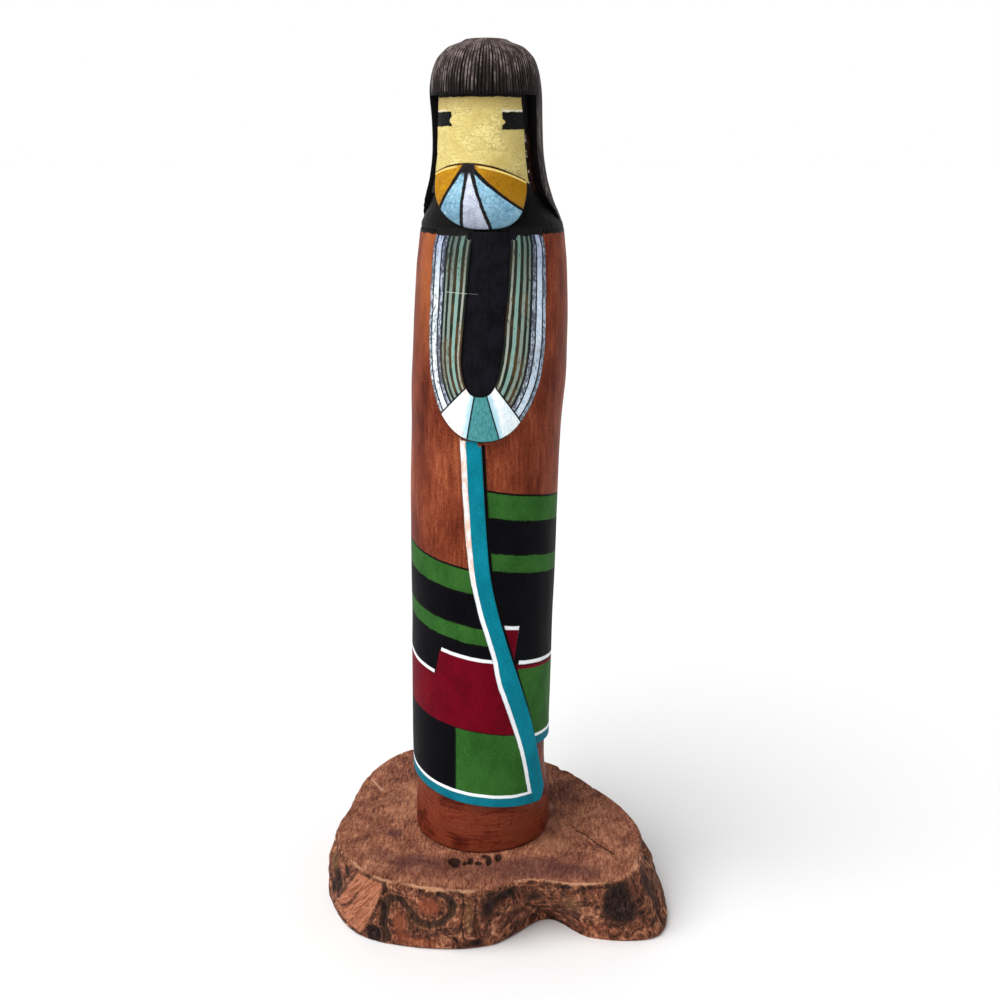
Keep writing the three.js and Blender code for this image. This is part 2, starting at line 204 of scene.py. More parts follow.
# %% Soft hand-made unevenness
def unevenness(points, size, seed, waves=9):
    choice = np.random.default_rng(seed)
    directions = choice.normal(size=(waves, 3))
    directions /= np.linalg.norm(directions, axis=1, keepdims=True)
    lengths = size * choice.uniform(0.7, 1.8, waves)
    starts = choice.uniform(0, 2 * math.pi, waves)
    total = 0
    for direction, length, start in zip(directions, lengths, starts):
        total = total + np.sin(points @ direction * (2 * math.pi / length) + start)
    return total / math.sqrt(waves)


def spaced(*stretches):
    """Positions along a grid line: each stretch is (start, end, steps), and they share their ends."""
    runs = [np.linspace(a, b, steps, endpoint=False) for a, b, steps in stretches]
    return np.concatenate([*runs, [stretches[-1][1]]])


# %% [markdown]
# ## Finishes
#
# A finish is a material whose nodes read the point readings and some noise, and mix colours by
# them. Writing nodes out one by one is long, so a small class gives each kind of step a short
# name: read a value, compare it with a limit, mix two colours by a mask. Values and sockets can
# both be passed in, and the class links whichever it gets.


# %% Colours as a painter mixes them
def paint(red, green, blue):
    channels = [c / 255 for c in (red, green, blue)]
    linear = [c / 12.92 if c < 0.04045 else ((c + 0.055) / 1.055) ** 2.4 for c in channels]
    return (*linear, 1.0)


# %% Short names for shader nodes
class Finish:
    # Brings the cloudy noise, which seldom strays a third from its middle, to its full reach
    NOISE_TO_REACH = 3.2
    # How far the noise is shifted along each axis from one seed to the next
    SEED_SHIFT = (31, 77, 53)

    def __init__(self, name):
        self.material = bpy.data.materials.new(name)
        self.material.use_nodes = True
        self.tree = self.material.node_tree
        self.shader = self.tree.nodes["Principled BSDF"]
        coordinates = self.node("ShaderNodeTexCoord")
        in_mm = self.node("ShaderNodeVectorMath", operation="SCALE")
        self.connect(coordinates.outputs["Object"], in_mm.inputs[0])
        in_mm.inputs["Scale"].default_value = 1 / MM
        self.place = in_mm.outputs[0]

    def node(self, kind, **settings):
        made = self.tree.nodes.new(kind)
        for setting, value in settings.items():
            setattr(made, setting, value)
        return made

    def connect(self, value, socket):
        if isinstance(value, bpy.types.NodeSocket):
            self.tree.links.new(value, socket)
        else:
            socket.default_value = value

    def place_x(self):
        """Millimetres to the right of the doll's axis."""
        parts = self.node("ShaderNodeSeparateXYZ")
        self.connect(self.place, parts.inputs[0])
        return parts.outputs["X"]

    def read(self, reading):
        return self.node("ShaderNodeAttribute", attribute_name=reading).outputs["Fac"]

    def maths(self, operation, *values):
        made = self.node("ShaderNodeMath", operation=operation)
        for value, socket in zip(values, made.inputs):
            self.connect(value, socket)
        return made.outputs[0]

    def add(self, *values):
        total = values[0]
        for value in values[1:]:
            total = self.maths("ADD", total, value)
        return total

    def times(self, *values):
        total = values[0]
        for value in values[1:]:
            total = self.maths("MULTIPLY", total, value)
        return total

    def either(self, *masks):
        total = masks[0]
        for mask in masks[1:]:
            total = self.maths("MAXIMUM", total, mask)
        return total

    def opposite(self, mask):
        return self.maths("SUBTRACT", 1.0, mask)

    def above(self, value, limit, soft=0.12):
        """0 below the limit and 1 above it, with a short soft change between."""
        made = self.node("ShaderNodeMapRange", interpolation_type="SMOOTHSTEP")
        self.connect(self.maths("SUBTRACT", value, limit), made.inputs["Value"])
        made.inputs["From Min"].default_value = -soft
        made.inputs["From Max"].default_value = soft
        return made.outputs["Result"]

    def between(self, value, low, high, soft=0.12):
        return self.maths("SUBTRACT", self.above(value, low, soft), self.above(value, high, soft))

    def line(self, value, at, width, soft=0.1):
        """1 on a line of that width where the value passes the given number."""
        apart = self.maths("ABSOLUTE", self.maths("SUBTRACT", value, at))
        return self.opposite(self.above(apart, self.maths("MULTIPLY", width, 0.5), soft))

    def noise(self, size, stretch=(1, 1, 1), detail=3.0, rough=0.55, seed=0.0, warp=0.0, lean=0.0):
        """Cloudy noise from 0 to 1, with spots about as large as size and leaning by so many degrees."""
        mapping = self.node("ShaderNodeMapping", vector_type="TEXTURE")
        self.connect(self.place, mapping.inputs["Vector"])
        mapping.inputs["Scale"].default_value = [size * s for s in stretch]
        mapping.inputs["Rotation"].default_value = (0, math.radians(lean), 0)
        mapping.inputs["Location"].default_value = [seed * shift for shift in self.SEED_SHIFT]
        made = self.node("ShaderNodeTexNoise")
        self.connect(mapping.outputs[0], made.inputs["Vector"])
        made.inputs["Scale"].default_value = 1.0
        made.inputs["Detail"].default_value = detail
        made.inputs["Roughness"].default_value = rough
        made.inputs["Distortion"].default_value = warp
        return made.outputs["Fac"]

    def wobble(self, size, reach, seed=0.0, stretch=(1, 1, 1)):
        """A noise from about minus reach to plus reach, in millimetres, for hand-drawn edges."""
        spread = self.maths("SUBTRACT", self.noise(size, stretch, detail=2.0, seed=seed), 0.5)
        return self.maths("MULTIPLY", spread, reach * self.NOISE_TO_REACH)

    def mix(self, mask, under, over):
        """One colour over another where the mask is 1."""
        made = self.node("ShaderNodeMix", data_type="RGBA", clamp_factor=True)
        colours = [socket for socket in made.inputs if socket.type == "RGBA"]
        self.connect(mask, made.inputs[0])
        self.connect(under, colours[0])
        self.connect(over, colours[1])
        return next(socket for socket in made.outputs if socket.type == "RGBA")

    def blend(self, mask, under, over):
        """The same for two numbers."""
        return self.add(under, self.times(mask, self.maths("SUBTRACT", over, under)))

    def ramp(self, value, *stops):
        made = self.node("ShaderNodeValToRGB")
        self.connect(value, made.inputs["Fac"])
        stops_made = made.color_ramp.elements
        while len(stops_made) < len(stops):
            stops_made.new(1.0)
        for stop, (position, colour) in zip(stops_made, stops):
            stop.position = position
            stop.color = colour
        return made.outputs["Color"]

    def done(self, colour, roughness, height, depth=0.3, gloss=0.2):
        """Links the colour, the roughness and a height in millimetres, and gives the material."""
        self.connect(colour, self.shader.inputs["Base Color"])
        self.connect(roughness, self.shader.inputs["Roughness"])
        self.shader.inputs["Specular IOR Level"].default_value = gloss
        bump = self.node("ShaderNodeBump")
        bump.inputs["Distance"].default_value = MM
        bump.inputs["Strength"].default_value = depth
        self.connect(height, bump.inputs["Height"])
        self.connect(bump.outputs[0], self.shader.inputs["Normal"])
        return self.material


# %% [markdown]
# ## The stained wood
#
# Where the doll is bare it shows cottonwood root, stained red-brown and rubbed with a satin finish.
# Its fibres run up the trunk, so the noise is squeezed round it and stretched upwards. Noises of
# several sizes are added up: broad clouds of stain, streaks, fibres about half a millimetre wide,
# fine grit and thin dark pores. Under the paint only the height of this recipe still shows. The foot
# was brushed round instead, so its own streaks lie level.


# %% Stained wood as a recipe for any finish
def stained_wood(finish):
    cloud = finish.noise(12, (1, 1, 1.8), detail=4, seed=1)
    fibre = finish.noise(0.6, (1, 1, 9), detail=5, rough=0.62, seed=2)
    streak = finish.noise(2.4, (1, 1, 7), detail=4, rough=0.6, seed=3, warp=0.4)
    pore = finish.noise(0.4, (1, 1, 9), detail=2, rough=0.4, seed=4)
    grit = finish.noise(0.5, detail=3, rough=0.7, seed=5)
    tone = finish.add(
        finish.times(cloud, 0.46),
        finish.times(fibre, 0.28),
        finish.times(streak, 0.24),
        finish.times(grit, 0.26),
    )
    colour = finish.ramp(
        tone,
        (0.49, paint(74, 26, 14)),
        (0.59, paint(106, 46, 28)),
        (0.655, paint(126, 60, 38)),
        (0.76, paint(162, 90, 58)),
    )
    pores = finish.above(pore, 0.66, 0.05)
    colour = finish.mix(finish.times(pores, 0.4), colour, paint(70, 26, 16))
    height = finish.add(finish.times(fibre, 0.12), finish.times(grit, 0.06), finish.times(pores, -0.08))
    return colour, height, fibre


# %% The bare foot of the trunk
def foot_finish():
    wood = Finish("stained_wood")
    _, grain, fibre = stained_wood(wood)
    height = wood.read("height")
    cloud = wood.noise(9, (1, 1, 0.7), detail=3, seed=14, warp=0.5)
    brushed = wood.noise(1.1, (5, 5, 0.6), detail=5, rough=0.65, seed=15)
    speck = wood.noise(0.45, detail=3, rough=0.7, seed=16)
    colour = wood.ramp(
        wood.add(wood.times(cloud, 0.5), wood.times(brushed, 0.34), wood.times(speck, 0.16)),
        (0.4, paint(70, 22, 15)),
        (0.48, paint(106, 43, 27)),
        (0.55, paint(134, 64, 41)),
        (0.63, paint(168, 94, 62)),
    )
    smudge = wood.above(wood.add(cloud, wood.times(brushed, 0.4)), 0.76, 0.08)
    colour = wood.mix(wood.times(smudge, 0.6), colour, paint(74, 20, 18))
    # Painted shadow: dark where the foot meets the slab and along the blanket's hem, where the cut points
    # read a height of nought
    contact_shadow = wood.opposite(wood.above(wood.add(height, wood.wobble(3, 0.25, seed=9)), 0.5, 0.4))
    colour = wood.mix(wood.times(contact_shadow, 0.8), colour, paint(38, 15, 10))
    relief = wood.add(wood.times(grain, 0.4), wood.times(brushed, 0.1))
    return wood.done(colour, wood.blend(fibre, 0.38, 0.5), relief, 0.35, 0.05)


# %% [markdown]
# ## The blanket
#
# The blanket is wound once round the trunk and on across the front, where its edge runs down from
# the necklace and swings to the right. Its painted bands keep going down at the same slope all the
# way round, so they are level on the cloth but not on the doll. Three readings describe any point:
# how far it is wound, how high it is on the cloth, and how far it is past the edge that lies on
# top. Bands and boxes painted in those readings join up round the back by themselves.

# %% The winding of the blanket
HEM_HEIGHT = 0.15 * DOLL_HEIGHT
HEM_DROP = 0.000216 * DOLL_HEIGHT
EDGE_TOP = 0.547 * DOLL_HEIGHT
EDGE_RUN = 0.483 * DOLL_HEIGHT
EDGE_STEEP = 25
EDGE_SWEEP = 37.5
EDGE_TURN = 0.29
HIDDEN_LAP = 8
BAND_DROP = 0.0535
BAND_STEEPENING = 0.0001
EDGE_ROUNDING = 0.4
# The corner between the edge and the hem is lifted over so many degrees, by this share of the height
CORNER_REACH, CORNER_SHARE = 9, 0.02


def hem_at(winding):
    return HEM_HEIGHT - HEM_DROP * winding


def flap_edge_at(height):
    down = np.maximum((EDGE_TOP - height) / EDGE_RUN, 0)
    return EDGE_STEEP * down + EDGE_SWEEP * smooth(down, EDGE_TURN, 1)


def layers_at(winding, height):
    flush = smooth(height, EDGE_TOP, EDGE_TOP + 0.08 * DOLL_HEIGHT)
    return (1 + winding / 360) * (1 - flush) + 2 * flush


def level_at(winding, height):
    """How high a point is on the cloth: the height its band has at the start of the winding."""
    return (height + BAND_DROP * winding) / (1 - BAND_STEEPENING * winding)


def rounded(distance, radius=EDGE_ROUNDING):
    """How far a rounded edge has dropped at a distance from it."""
    t = np.clip(1 - distance / radius, 0, 1)
    return radius * (1 - np.sqrt(1 - t * t))


print("the edge on top turns", EDGE_STEEP + EDGE_SWEEP, "degrees on its way down to the hem")


# %% The blanket as one wound plate
def blanket(material):
    lap_span = 360 + HIDDEN_LAP
    near_edge = 1 / lap_span
    share = spaced((0, 0.93, 170), (0.93, 1 - 2.2 * near_edge, 26), (1 - 2.2 * near_edge, 1, 7))
    lap = lap_span * share - HIDDEN_LAP
    rise = spaced((0, 0.004, 5), (0.004, 1, 125))
    lap, rise = np.meshgrid(lap, rise)
    height = np.full_like(lap, HAIR_BOTTOM)
    for _ in range(8):
        winding = flap_edge_at(height) + lap
        height = hem_at(winding) + (HAIR_BOTTOM - hem_at(winding)) * rise
    above_hem = height - hem_at(winding)
    corner = np.clip(1 - (360 - lap) / CORNER_REACH, 0, 1) ** 2 * CORNER_SHARE * DOLL_HEIGHT * (1 - rise)
    height = height + corner * np.clip(1 - rise * 12, 0, 1)
    radius, bow = trunk_at(height)
    to_edge = np.minimum(np.radians(360 - lap) * radius, (height - hem_at(winding) - corner) + 0.02)
    flat = round_the_doll(winding, height, radius, bow)
    carved = 0.1 * unevenness(flat, 26, 11) + 0.035 * unevenness(flat * (1, 1, 0.4), 5, 12)
    outside = radius + CLOTH * layers_at(winding, height) + carved - rounded(to_edge) - SHRINK
    outer = round_the_doll(winding, height, outside, bow)
    inner = round_the_doll(winding, height, radius - CLOTH, bow)
    readings = {"wind": winding, "lap": lap, "level": level_at(winding, height), "height": height}
    readings["hem"] = above_hem
    # At a joint with another body these two fall to nought, which tells the finish where it is
    readings["whole"] = np.ones_like(height)
    readings["below"] = np.maximum(HAIR_BOTTOM - height, 0)
    return plate("blanket", outer, inner, readings, material, {"lap": lap + 1.5 * (lap > 359.9)})


# %% [markdown]
# The pattern is painted by comparing those readings with the painter's own limits. Green and black
# bands lie above a red field whose top edge steps down and up, as on woven blankets. Each step is
# one more comparison of the winding, and the red field's top is their sum. A wobble of a quarter of
# a millimetre keeps the edges hand-drawn, and thin burnt lines run along the borders.

# %% The painter's limits on the cloth, in millimetres above the slab at the start of the winding
GREEN_TOP, GREEN_LOW = 113.4, 106.0
LOWER_GREEN_TOP, LOWER_GREEN_LOW = 96.0, 90.4
RED_FIELD_LOW, RED_FIELD_LOW_START = 62.0, 60.9
WHITE_LINE = 1.1
HEM_TEAL, HEM_WHITE = 2.9, 3.85
TEAL_LAP, TEAL_LAP_LOW = 11.3, 14.8
# Where the red field's top changes: winding, new level
RED_STEPS = [(0, 73.2), (37.5, 62.4), (150, 77.0), (326.5, 85.2)]
# The steps lean by so many degrees for each millimetre, and stand true at one level
STEP_LEAN, LEAN_LEVEL = 0.45, 80
# The white line stops here and goes on lower down, and both are places on the winding
LINE_GAP, SECOND_LINE_END = (37.2, 42.5), 60
DARK_BOX, DIVIDER = (228, 342.8), 343.2
# Near-black for burnt lines, also used for painted shadow
BURNT_AND_SHADOW = paint(10, 7, 7)
print("levels of the bands:", GREEN_TOP, GREEN_LOW, LOWER_GREEN_TOP, LOWER_GREEN_LOW, RED_FIELD_LOW)


# %% The blanket's finish
def blanket_finish():
    cloth = Finish("painted_blanket")
    bare, grain, fibre = stained_wood(cloth)
    wind, lap, height, hem = (cloth.read(name) for name in ("wind", "lap", "height", "hem"))
    level = cloth.add(cloth.read("level"), cloth.wobble(9, 0.16, seed=21), cloth.wobble(1.5, 0.035, seed=22))
    grit = cloth.noise(0.45, (1, 1, 1.5), detail=4, rough=0.65, seed=23)
    patch = cloth.noise(6, (1, 1, 1.5), detail=3, seed=24)
    light_and_dark = cloth.add(cloth.times(grit, 0.55), cloth.times(patch, 0.5))

    def brushed(dark, light):
        return cloth.mix(cloth.above(light_and_dark, 0.525, 0.16), dark, light)

    green = brushed(paint(33, 76, 26), paint(51, 98, 40))
    black = brushed(paint(2, 2, 5), paint(9, 9, 15))
    red = brushed(paint(84, 0, 14), paint(108, 2, 26))
    teal = brushed(paint(2, 104, 123), paint(8, 128, 148))
    white = brushed(paint(222, 228, 232), paint(242, 244, 246))

    # The left shoulder beside the necklace is a lighter orange: partly rubbed wood, partly a painted
    # highlight
    shoulder = cloth.times(cloth.between(wind, 297, 322, 9), cloth.above(height, 156, 14))
    rubbed = cloth.times(shoulder, cloth.add(0.05, cloth.times(patch, 0.7)))
    colour = cloth.mix(rubbed, bare, paint(182, 104, 56))
    painted = cloth.opposite(cloth.above(level, GREEN_TOP, 0.08))
    colour = cloth.mix(painted, colour, green)
    colour = cloth.mix(cloth.between(level, LOWER_GREEN_TOP, GREEN_LOW, 0.08), colour, black)
    colour = cloth.mix(cloth.opposite(cloth.above(level, LOWER_GREEN_LOW, 0.08)), colour, black)

    # The red field, with its stepped top and the white line along it
    slanted = cloth.add(wind, cloth.times(level, -STEP_LEAN), STEP_LEAN * LEAN_LEVEL)
    red_top = RED_STEPS[0][1]
    for (_, before), (start, after) in zip(RED_STEPS, RED_STEPS[1:]):
        red_top = cloth.add(red_top, cloth.times(cloth.above(slanted, start, 0.35), after - before))
    under_top = cloth.opposite(cloth.above(level, red_top))
    colour = cloth.mix(under_top, colour, red)
    white_top = cloth.add(red_top, cloth.wobble(4, 0.12, seed=26), WHITE_LINE)
    below_white = cloth.opposite(cloth.above(level, white_top, 0.14))
    on_line = cloth.times(cloth.above(level, red_top, 0.14), below_white)
    low_red = RED_STEPS[1][1]
    on_low_line = cloth.between(level, low_red, low_red + WHITE_LINE, 0.14)
    second_line = cloth.times(on_low_line, cloth.between(slanted, LINE_GAP[1], SECOND_LINE_END, 0.5))
    gap = cloth.between(slanted, *LINE_GAP, 0.4)
    on_line = cloth.either(cloth.times(on_line, cloth.opposite(gap)), second_line)
    on_line = cloth.times(on_line, cloth.opposite(cloth.line(slanted, RED_STEPS[-1][0], 3.0, 0.3)))

    # Below the red field: green, black and green again
    field_low = cloth.blend(cloth.above(wind, RED_STEPS[2][0], 0.3), RED_FIELD_LOW_START, RED_FIELD_LOW)
    below = cloth.opposite(cloth.above(level, field_low))
    dark_part = cloth.between(cloth.add(wind, cloth.wobble(5, 0.3, seed=27)), *DARK_BOX, 0.3)
    lower = cloth.mix(dark_part, green, black)
    colour = cloth.mix(below, colour, lower)
    colour = cloth.mix(cloth.times(on_line, painted), colour, white)

    # The hem: teal, then a white line, both a little wider at the corner
    corner = cloth.above(wind, 400, 20)
    hem = cloth.add(hem, cloth.wobble(7, 0.12, seed=31))
    teal_hem = cloth.blend(corner, HEM_TEAL, HEM_TEAL + 0.6)
    white_hem = cloth.blend(corner, HEM_WHITE, HEM_WHITE + 0.4)
    above_hem = cloth.above(hem, teal_hem)
    over_hem = cloth.above(hem, white_hem)
    hem_line = cloth.times(above_hem, cloth.opposite(over_hem))
    hem_teal = brushed(paint(6, 92, 110), paint(16, 114, 132))
    colour = cloth.mix(cloth.opposite(above_hem), colour, hem_teal)
    colour = cloth.mix(hem_line, colour, white)

    # The edge that lies on top
    from_edge = cloth.add(360.0, cloth.times(lap, -1.0), cloth.wobble(8, 0.35, seed=28))
    teal_lap = cloth.blend(cloth.above(height, 60, 6), TEAL_LAP_LOW, TEAL_LAP)
    white_lap = cloth.add(teal_lap, cloth.blend(cloth.above(height, 92, 12), 3.6, 4.4))
    worn = cloth.noise(1.1, (1, 1, 3), detail=4, rough=0.65, seed=29)
    thin_paint = cloth.times(cloth.above(height, 88, 10), cloth.above(worn, 0.49, 0.1))
    edge_white = cloth.mix(cloth.times(thin_paint, 0.75), white, paint(222, 172, 142))
    beyond_teal = cloth.above(from_edge, teal_lap, 0.3)
    within_white = cloth.opposite(cloth.above(from_edge, white_lap, 0.3))
    on_white = cloth.times(beyond_teal, within_white, above_hem)
    colour = cloth.mix(on_white, colour, edge_white)
    colour = cloth.mix(cloth.opposite(beyond_teal), colour, teal)

    # Burnt lines along the borders, and painted shadow under the edge and on its side face
    faint = cloth.noise(2.2, (1, 1, 1), detail=2, seed=30)
    pressure = cloth.above(faint, 0.4, 0.14)
    borders = [
        cloth.line(level, GREEN_TOP + 0.15, 0.6),
        cloth.times(cloth.line(level, GREEN_LOW, 0.55), pressure),
        cloth.times(cloth.line(level, LOWER_GREEN_TOP, 0.55), pressure),
        cloth.times(cloth.line(level, LOWER_GREEN_LOW, 0.6), pressure),
    ]
    clear_of_edge = cloth.opposite(within_white)
    burnt_and_shadow = cloth.either(*[cloth.times(border, clear_of_edge) for border in borders])
    red_border = cloth.times(cloth.line(level, RED_FIELD_LOW, 0.35), clear_of_edge)
    below_field = cloth.opposite(cloth.above(level, RED_FIELD_LOW))
    divider = cloth.times(cloth.line(wind, DIVIDER, 1.1, 0.3), below_field, over_hem)
    burnt_and_shadow = cloth.either(burnt_and_shadow, cloth.times(cloth.either(red_border, divider), 0.8))
    beside_white = cloth.times(cloth.line(from_edge, white_lap, 0.7, 0.3), over_hem, pressure)
    burnt_and_shadow = cloth.either(burnt_and_shadow, cloth.times(beside_white, 0.55))
    # Painted shadow beside the edge on top, and painted shade on that edge's side face
    shadow_under_edge = cloth.opposite(cloth.above(lap, 2.6, 0.8))
    shaded_edge_face = cloth.above(lap, 360.15, 0.1)
    # Black paint dabbed under the head's edge, also standing for the head's painted shadow
    below_head = cloth.add(cloth.read("below"), cloth.wobble(2.0, 0.4, seed=32))
    under_head = cloth.opposite(cloth.above(below_head, 0.9, 0.15))
    # Round the necklace the bare wood shows, with a thin burnt line beside the carved edge
    whole = cloth.read("whole")
    clear_of_joint = cloth.above(whole, 0.97, 0.02)
    colour = cloth.mix(clear_of_joint, bare, colour)
    burnt_and_shadow = cloth.times(cloth.either(burnt_and_shadow, shadow_under_edge, shaded_edge_face), clear_of_joint)
    burnt_and_shadow = cloth.either(burnt_and_shadow, under_head, cloth.opposite(cloth.above(whole, 0.3, 0.12)))
    colour = cloth.mix(burnt_and_shadow, colour, BURNT_AND_SHADOW)

    is_paint = cloth.either(painted, cloth.times(within_white, cloth.opposite(thin_paint)))
    roughness = cloth.blend(is_paint, cloth.blend(fibre, 0.38, 0.52), cloth.blend(grit, 0.46, 0.64))
    relief = cloth.add(
        cloth.times(grain, cloth.blend(is_paint, 1.0, 0.35)),
        cloth.times(grit, is_paint, 0.06),
        cloth.times(burnt_and_shadow, -0.14),
        cloth.times(cloth.either(on_line, hem_line, on_white), 0.05),
    )
    return cloth.done(colour, roughness, relief, 0.45, 0.04)


# %% [markdown]
# ## The necklace
#
# The necklace is a U-shaped band left standing a millimetre above the chest, with a field of flat
# black inside it. The band is a plate again: one direction runs along the U and the other across
# it, so strands are just stripes across the band. The outer bend is a little squarer than a half
# circle, which a superellipse gives with one more number.

# %% The U of the necklace
NECKLACE_CENTRE = 1.2
NECKLACE_TOP = HAIR_BOTTOM + 0.004 * DOLL_HEIGHT
NECKLACE_WIDTH = 12.2
LEG_SHARE = 0.28
# Half width in degrees, foot of the legs, drop below them, squareness of the bend
OUTER_U = (44.6, 0.681 * DOLL_HEIGHT, 0.132 * DOLL_HEIGHT, 2.2)
INNER_U = (13.7, 0.668 * DOLL_HEIGHT, 0.064 * DOLL_HEIGHT, 2.6)
FIELD_LOW_TURN, FIELD_LEAN = -3.2, 0.17
# The field runs in under the band on either side
FIELD_WIDENING = 1.3


def chest_at(height, angle):
    radius, bow = trunk_at(height)
    over_edge = smooth(angle, 0, 40)
    layers = layers_at(360.0, height) * (1 - over_edge) + layers_at(angle, height) * over_edge
    return radius + CLOTH * layers, bow


def necklace_line(u_shape, share):
    half, legs, drop, square = u_shape
    turn = math.pi * np.clip((share - LEG_SHARE) / (1 - 2 * LEG_SHARE), 0, 1)
    across, down = np.cos(turn), np.sin(turn)
    angle = half * np.sign(across) * np.abs(across) ** (2 / square)
    leg = np.clip(1 - np.minimum(share, 1 - share) / LEG_SHARE, 0, 1)
    return angle, legs - drop * np.abs(down) ** (2 / square) + (NECKLACE_TOP - legs) * leg


def field_middle_at(height):
    """The black field inside the necklace leans to the left on its way down."""
    _, legs, _, _ = INNER_U
    return FIELD_LOW_TURN + FIELD_LEAN * np.maximum(height - (legs - 0.03 * DOLL_HEIGHT), 0)


print("the field's middle leans", round(float(field_middle_at(NECKLACE_TOP) - FIELD_LOW_TURN), 1), "degrees")


# %% The necklace and the chest field as plates
def necklace(material):
    share = np.linspace(1, 0, 170)
    across = spaced((0, 0.05, 6), (0.05, 0.95, 20), (0.95, 1, 4))
    share, across = np.meshgrid(share, across)
    outer_angle, outer_height = necklace_line(OUTER_U, share)
    inner_angle, inner_height = necklace_line(INNER_U, share)
    inner_angle = inner_angle + field_middle_at(inner_height)
    angle = NECKLACE_CENTRE + outer_angle + (inner_angle - outer_angle) * across
    height = outer_height + (inner_height - outer_height) * across
    radius, bow = chest_at(height, angle)
    flat = round_the_doll(angle, height, radius, bow)
    drop = rounded(across * NECKLACE_WIDTH, 0.5) + rounded((1 - across) * NECKLACE_WIDTH, 0.35)
    relief = NECKLACE_RELIEF * (1 - 0.9 * smooth(height, NECKLACE_TOP - 4 * CLOTH, NECKLACE_TOP - CLOTH))
    carved = 0.05 * unevenness(flat, 6, 13)
    outside = radius + relief + carved - drop * relief / NECKLACE_RELIEF - SHRINK
    outer = round_the_doll(angle, height, outside, bow)
    inner = round_the_doll(angle, height, radius - 2 * CLOTH, bow)
    readings = {"angle": angle, "height": height, "across": across * NECKLACE_WIDTH}
    readings["rim"] = np.minimum(across, 1 - across) * NECKLACE_WIDTH
    readings["below"] = np.maximum(HAIR_BOTTOM - height, 0)
    return plate("necklace", outer, inner, readings, material)


def chest(material):
    half, legs, drop, _ = INNER_U
    across = np.linspace(-FIELD_WIDENING, FIELD_WIDENING, 30)
    across, height = np.meshgrid(across, np.linspace(legs - drop - CLOTH, HAIR_BOTTOM, 60))
    angle = NECKLACE_CENTRE + field_middle_at(height) + half * across
    radius, bow = chest_at(height, angle)
    outer = round_the_doll(angle, height, radius + CHEST_RELIEF, bow)
    inner = round_the_doll(angle, height, radius - 2 * CLOTH, bow)
    return plate("chest", outer, inner, {"angle": angle, "height": height}, material)


# %% [markdown]
# A boundary between two painted wedges is a straight line on the chest. The finish measures how far
# a point lies from such a line, with the sign telling the side. The strands use the reading across
# the band, and a colour ramp with hard stops lays white, speckled, green and tan threads in turn.

# %% Distances on the chest
CHEST_MM_PER_DEGREE = 0.394


def beside(finish, angle, height, start, end):
    """Millimetres to the left of a line that runs from start to end, both given as (angle, height)."""
    run = ((end[0] - start[0]) * CHEST_MM_PER_DEGREE, end[1] - start[1])
    length = math.hypot(*run)
    across = finish.times(finish.add(angle, -start[0]), -CHEST_MM_PER_DEGREE * run[1] / length)
    up = finish.times(finish.add(height, -start[1]), run[0] / length)
    return finish.add(across, up)


# %% A fine scratch that runs over the necklace into the black field
SCRATCH = ((-28.7, 167.5), (-5.3, 167.1))


def scratch(finish, angle, height):
    (start, _), (end, _) = SCRATCH
    on_line = finish.line(beside(finish, angle, height, *SCRATCH), 0, 0.16, 0.06)
    return finish.times(on_line, finish.between(angle, start, end, 0.6))


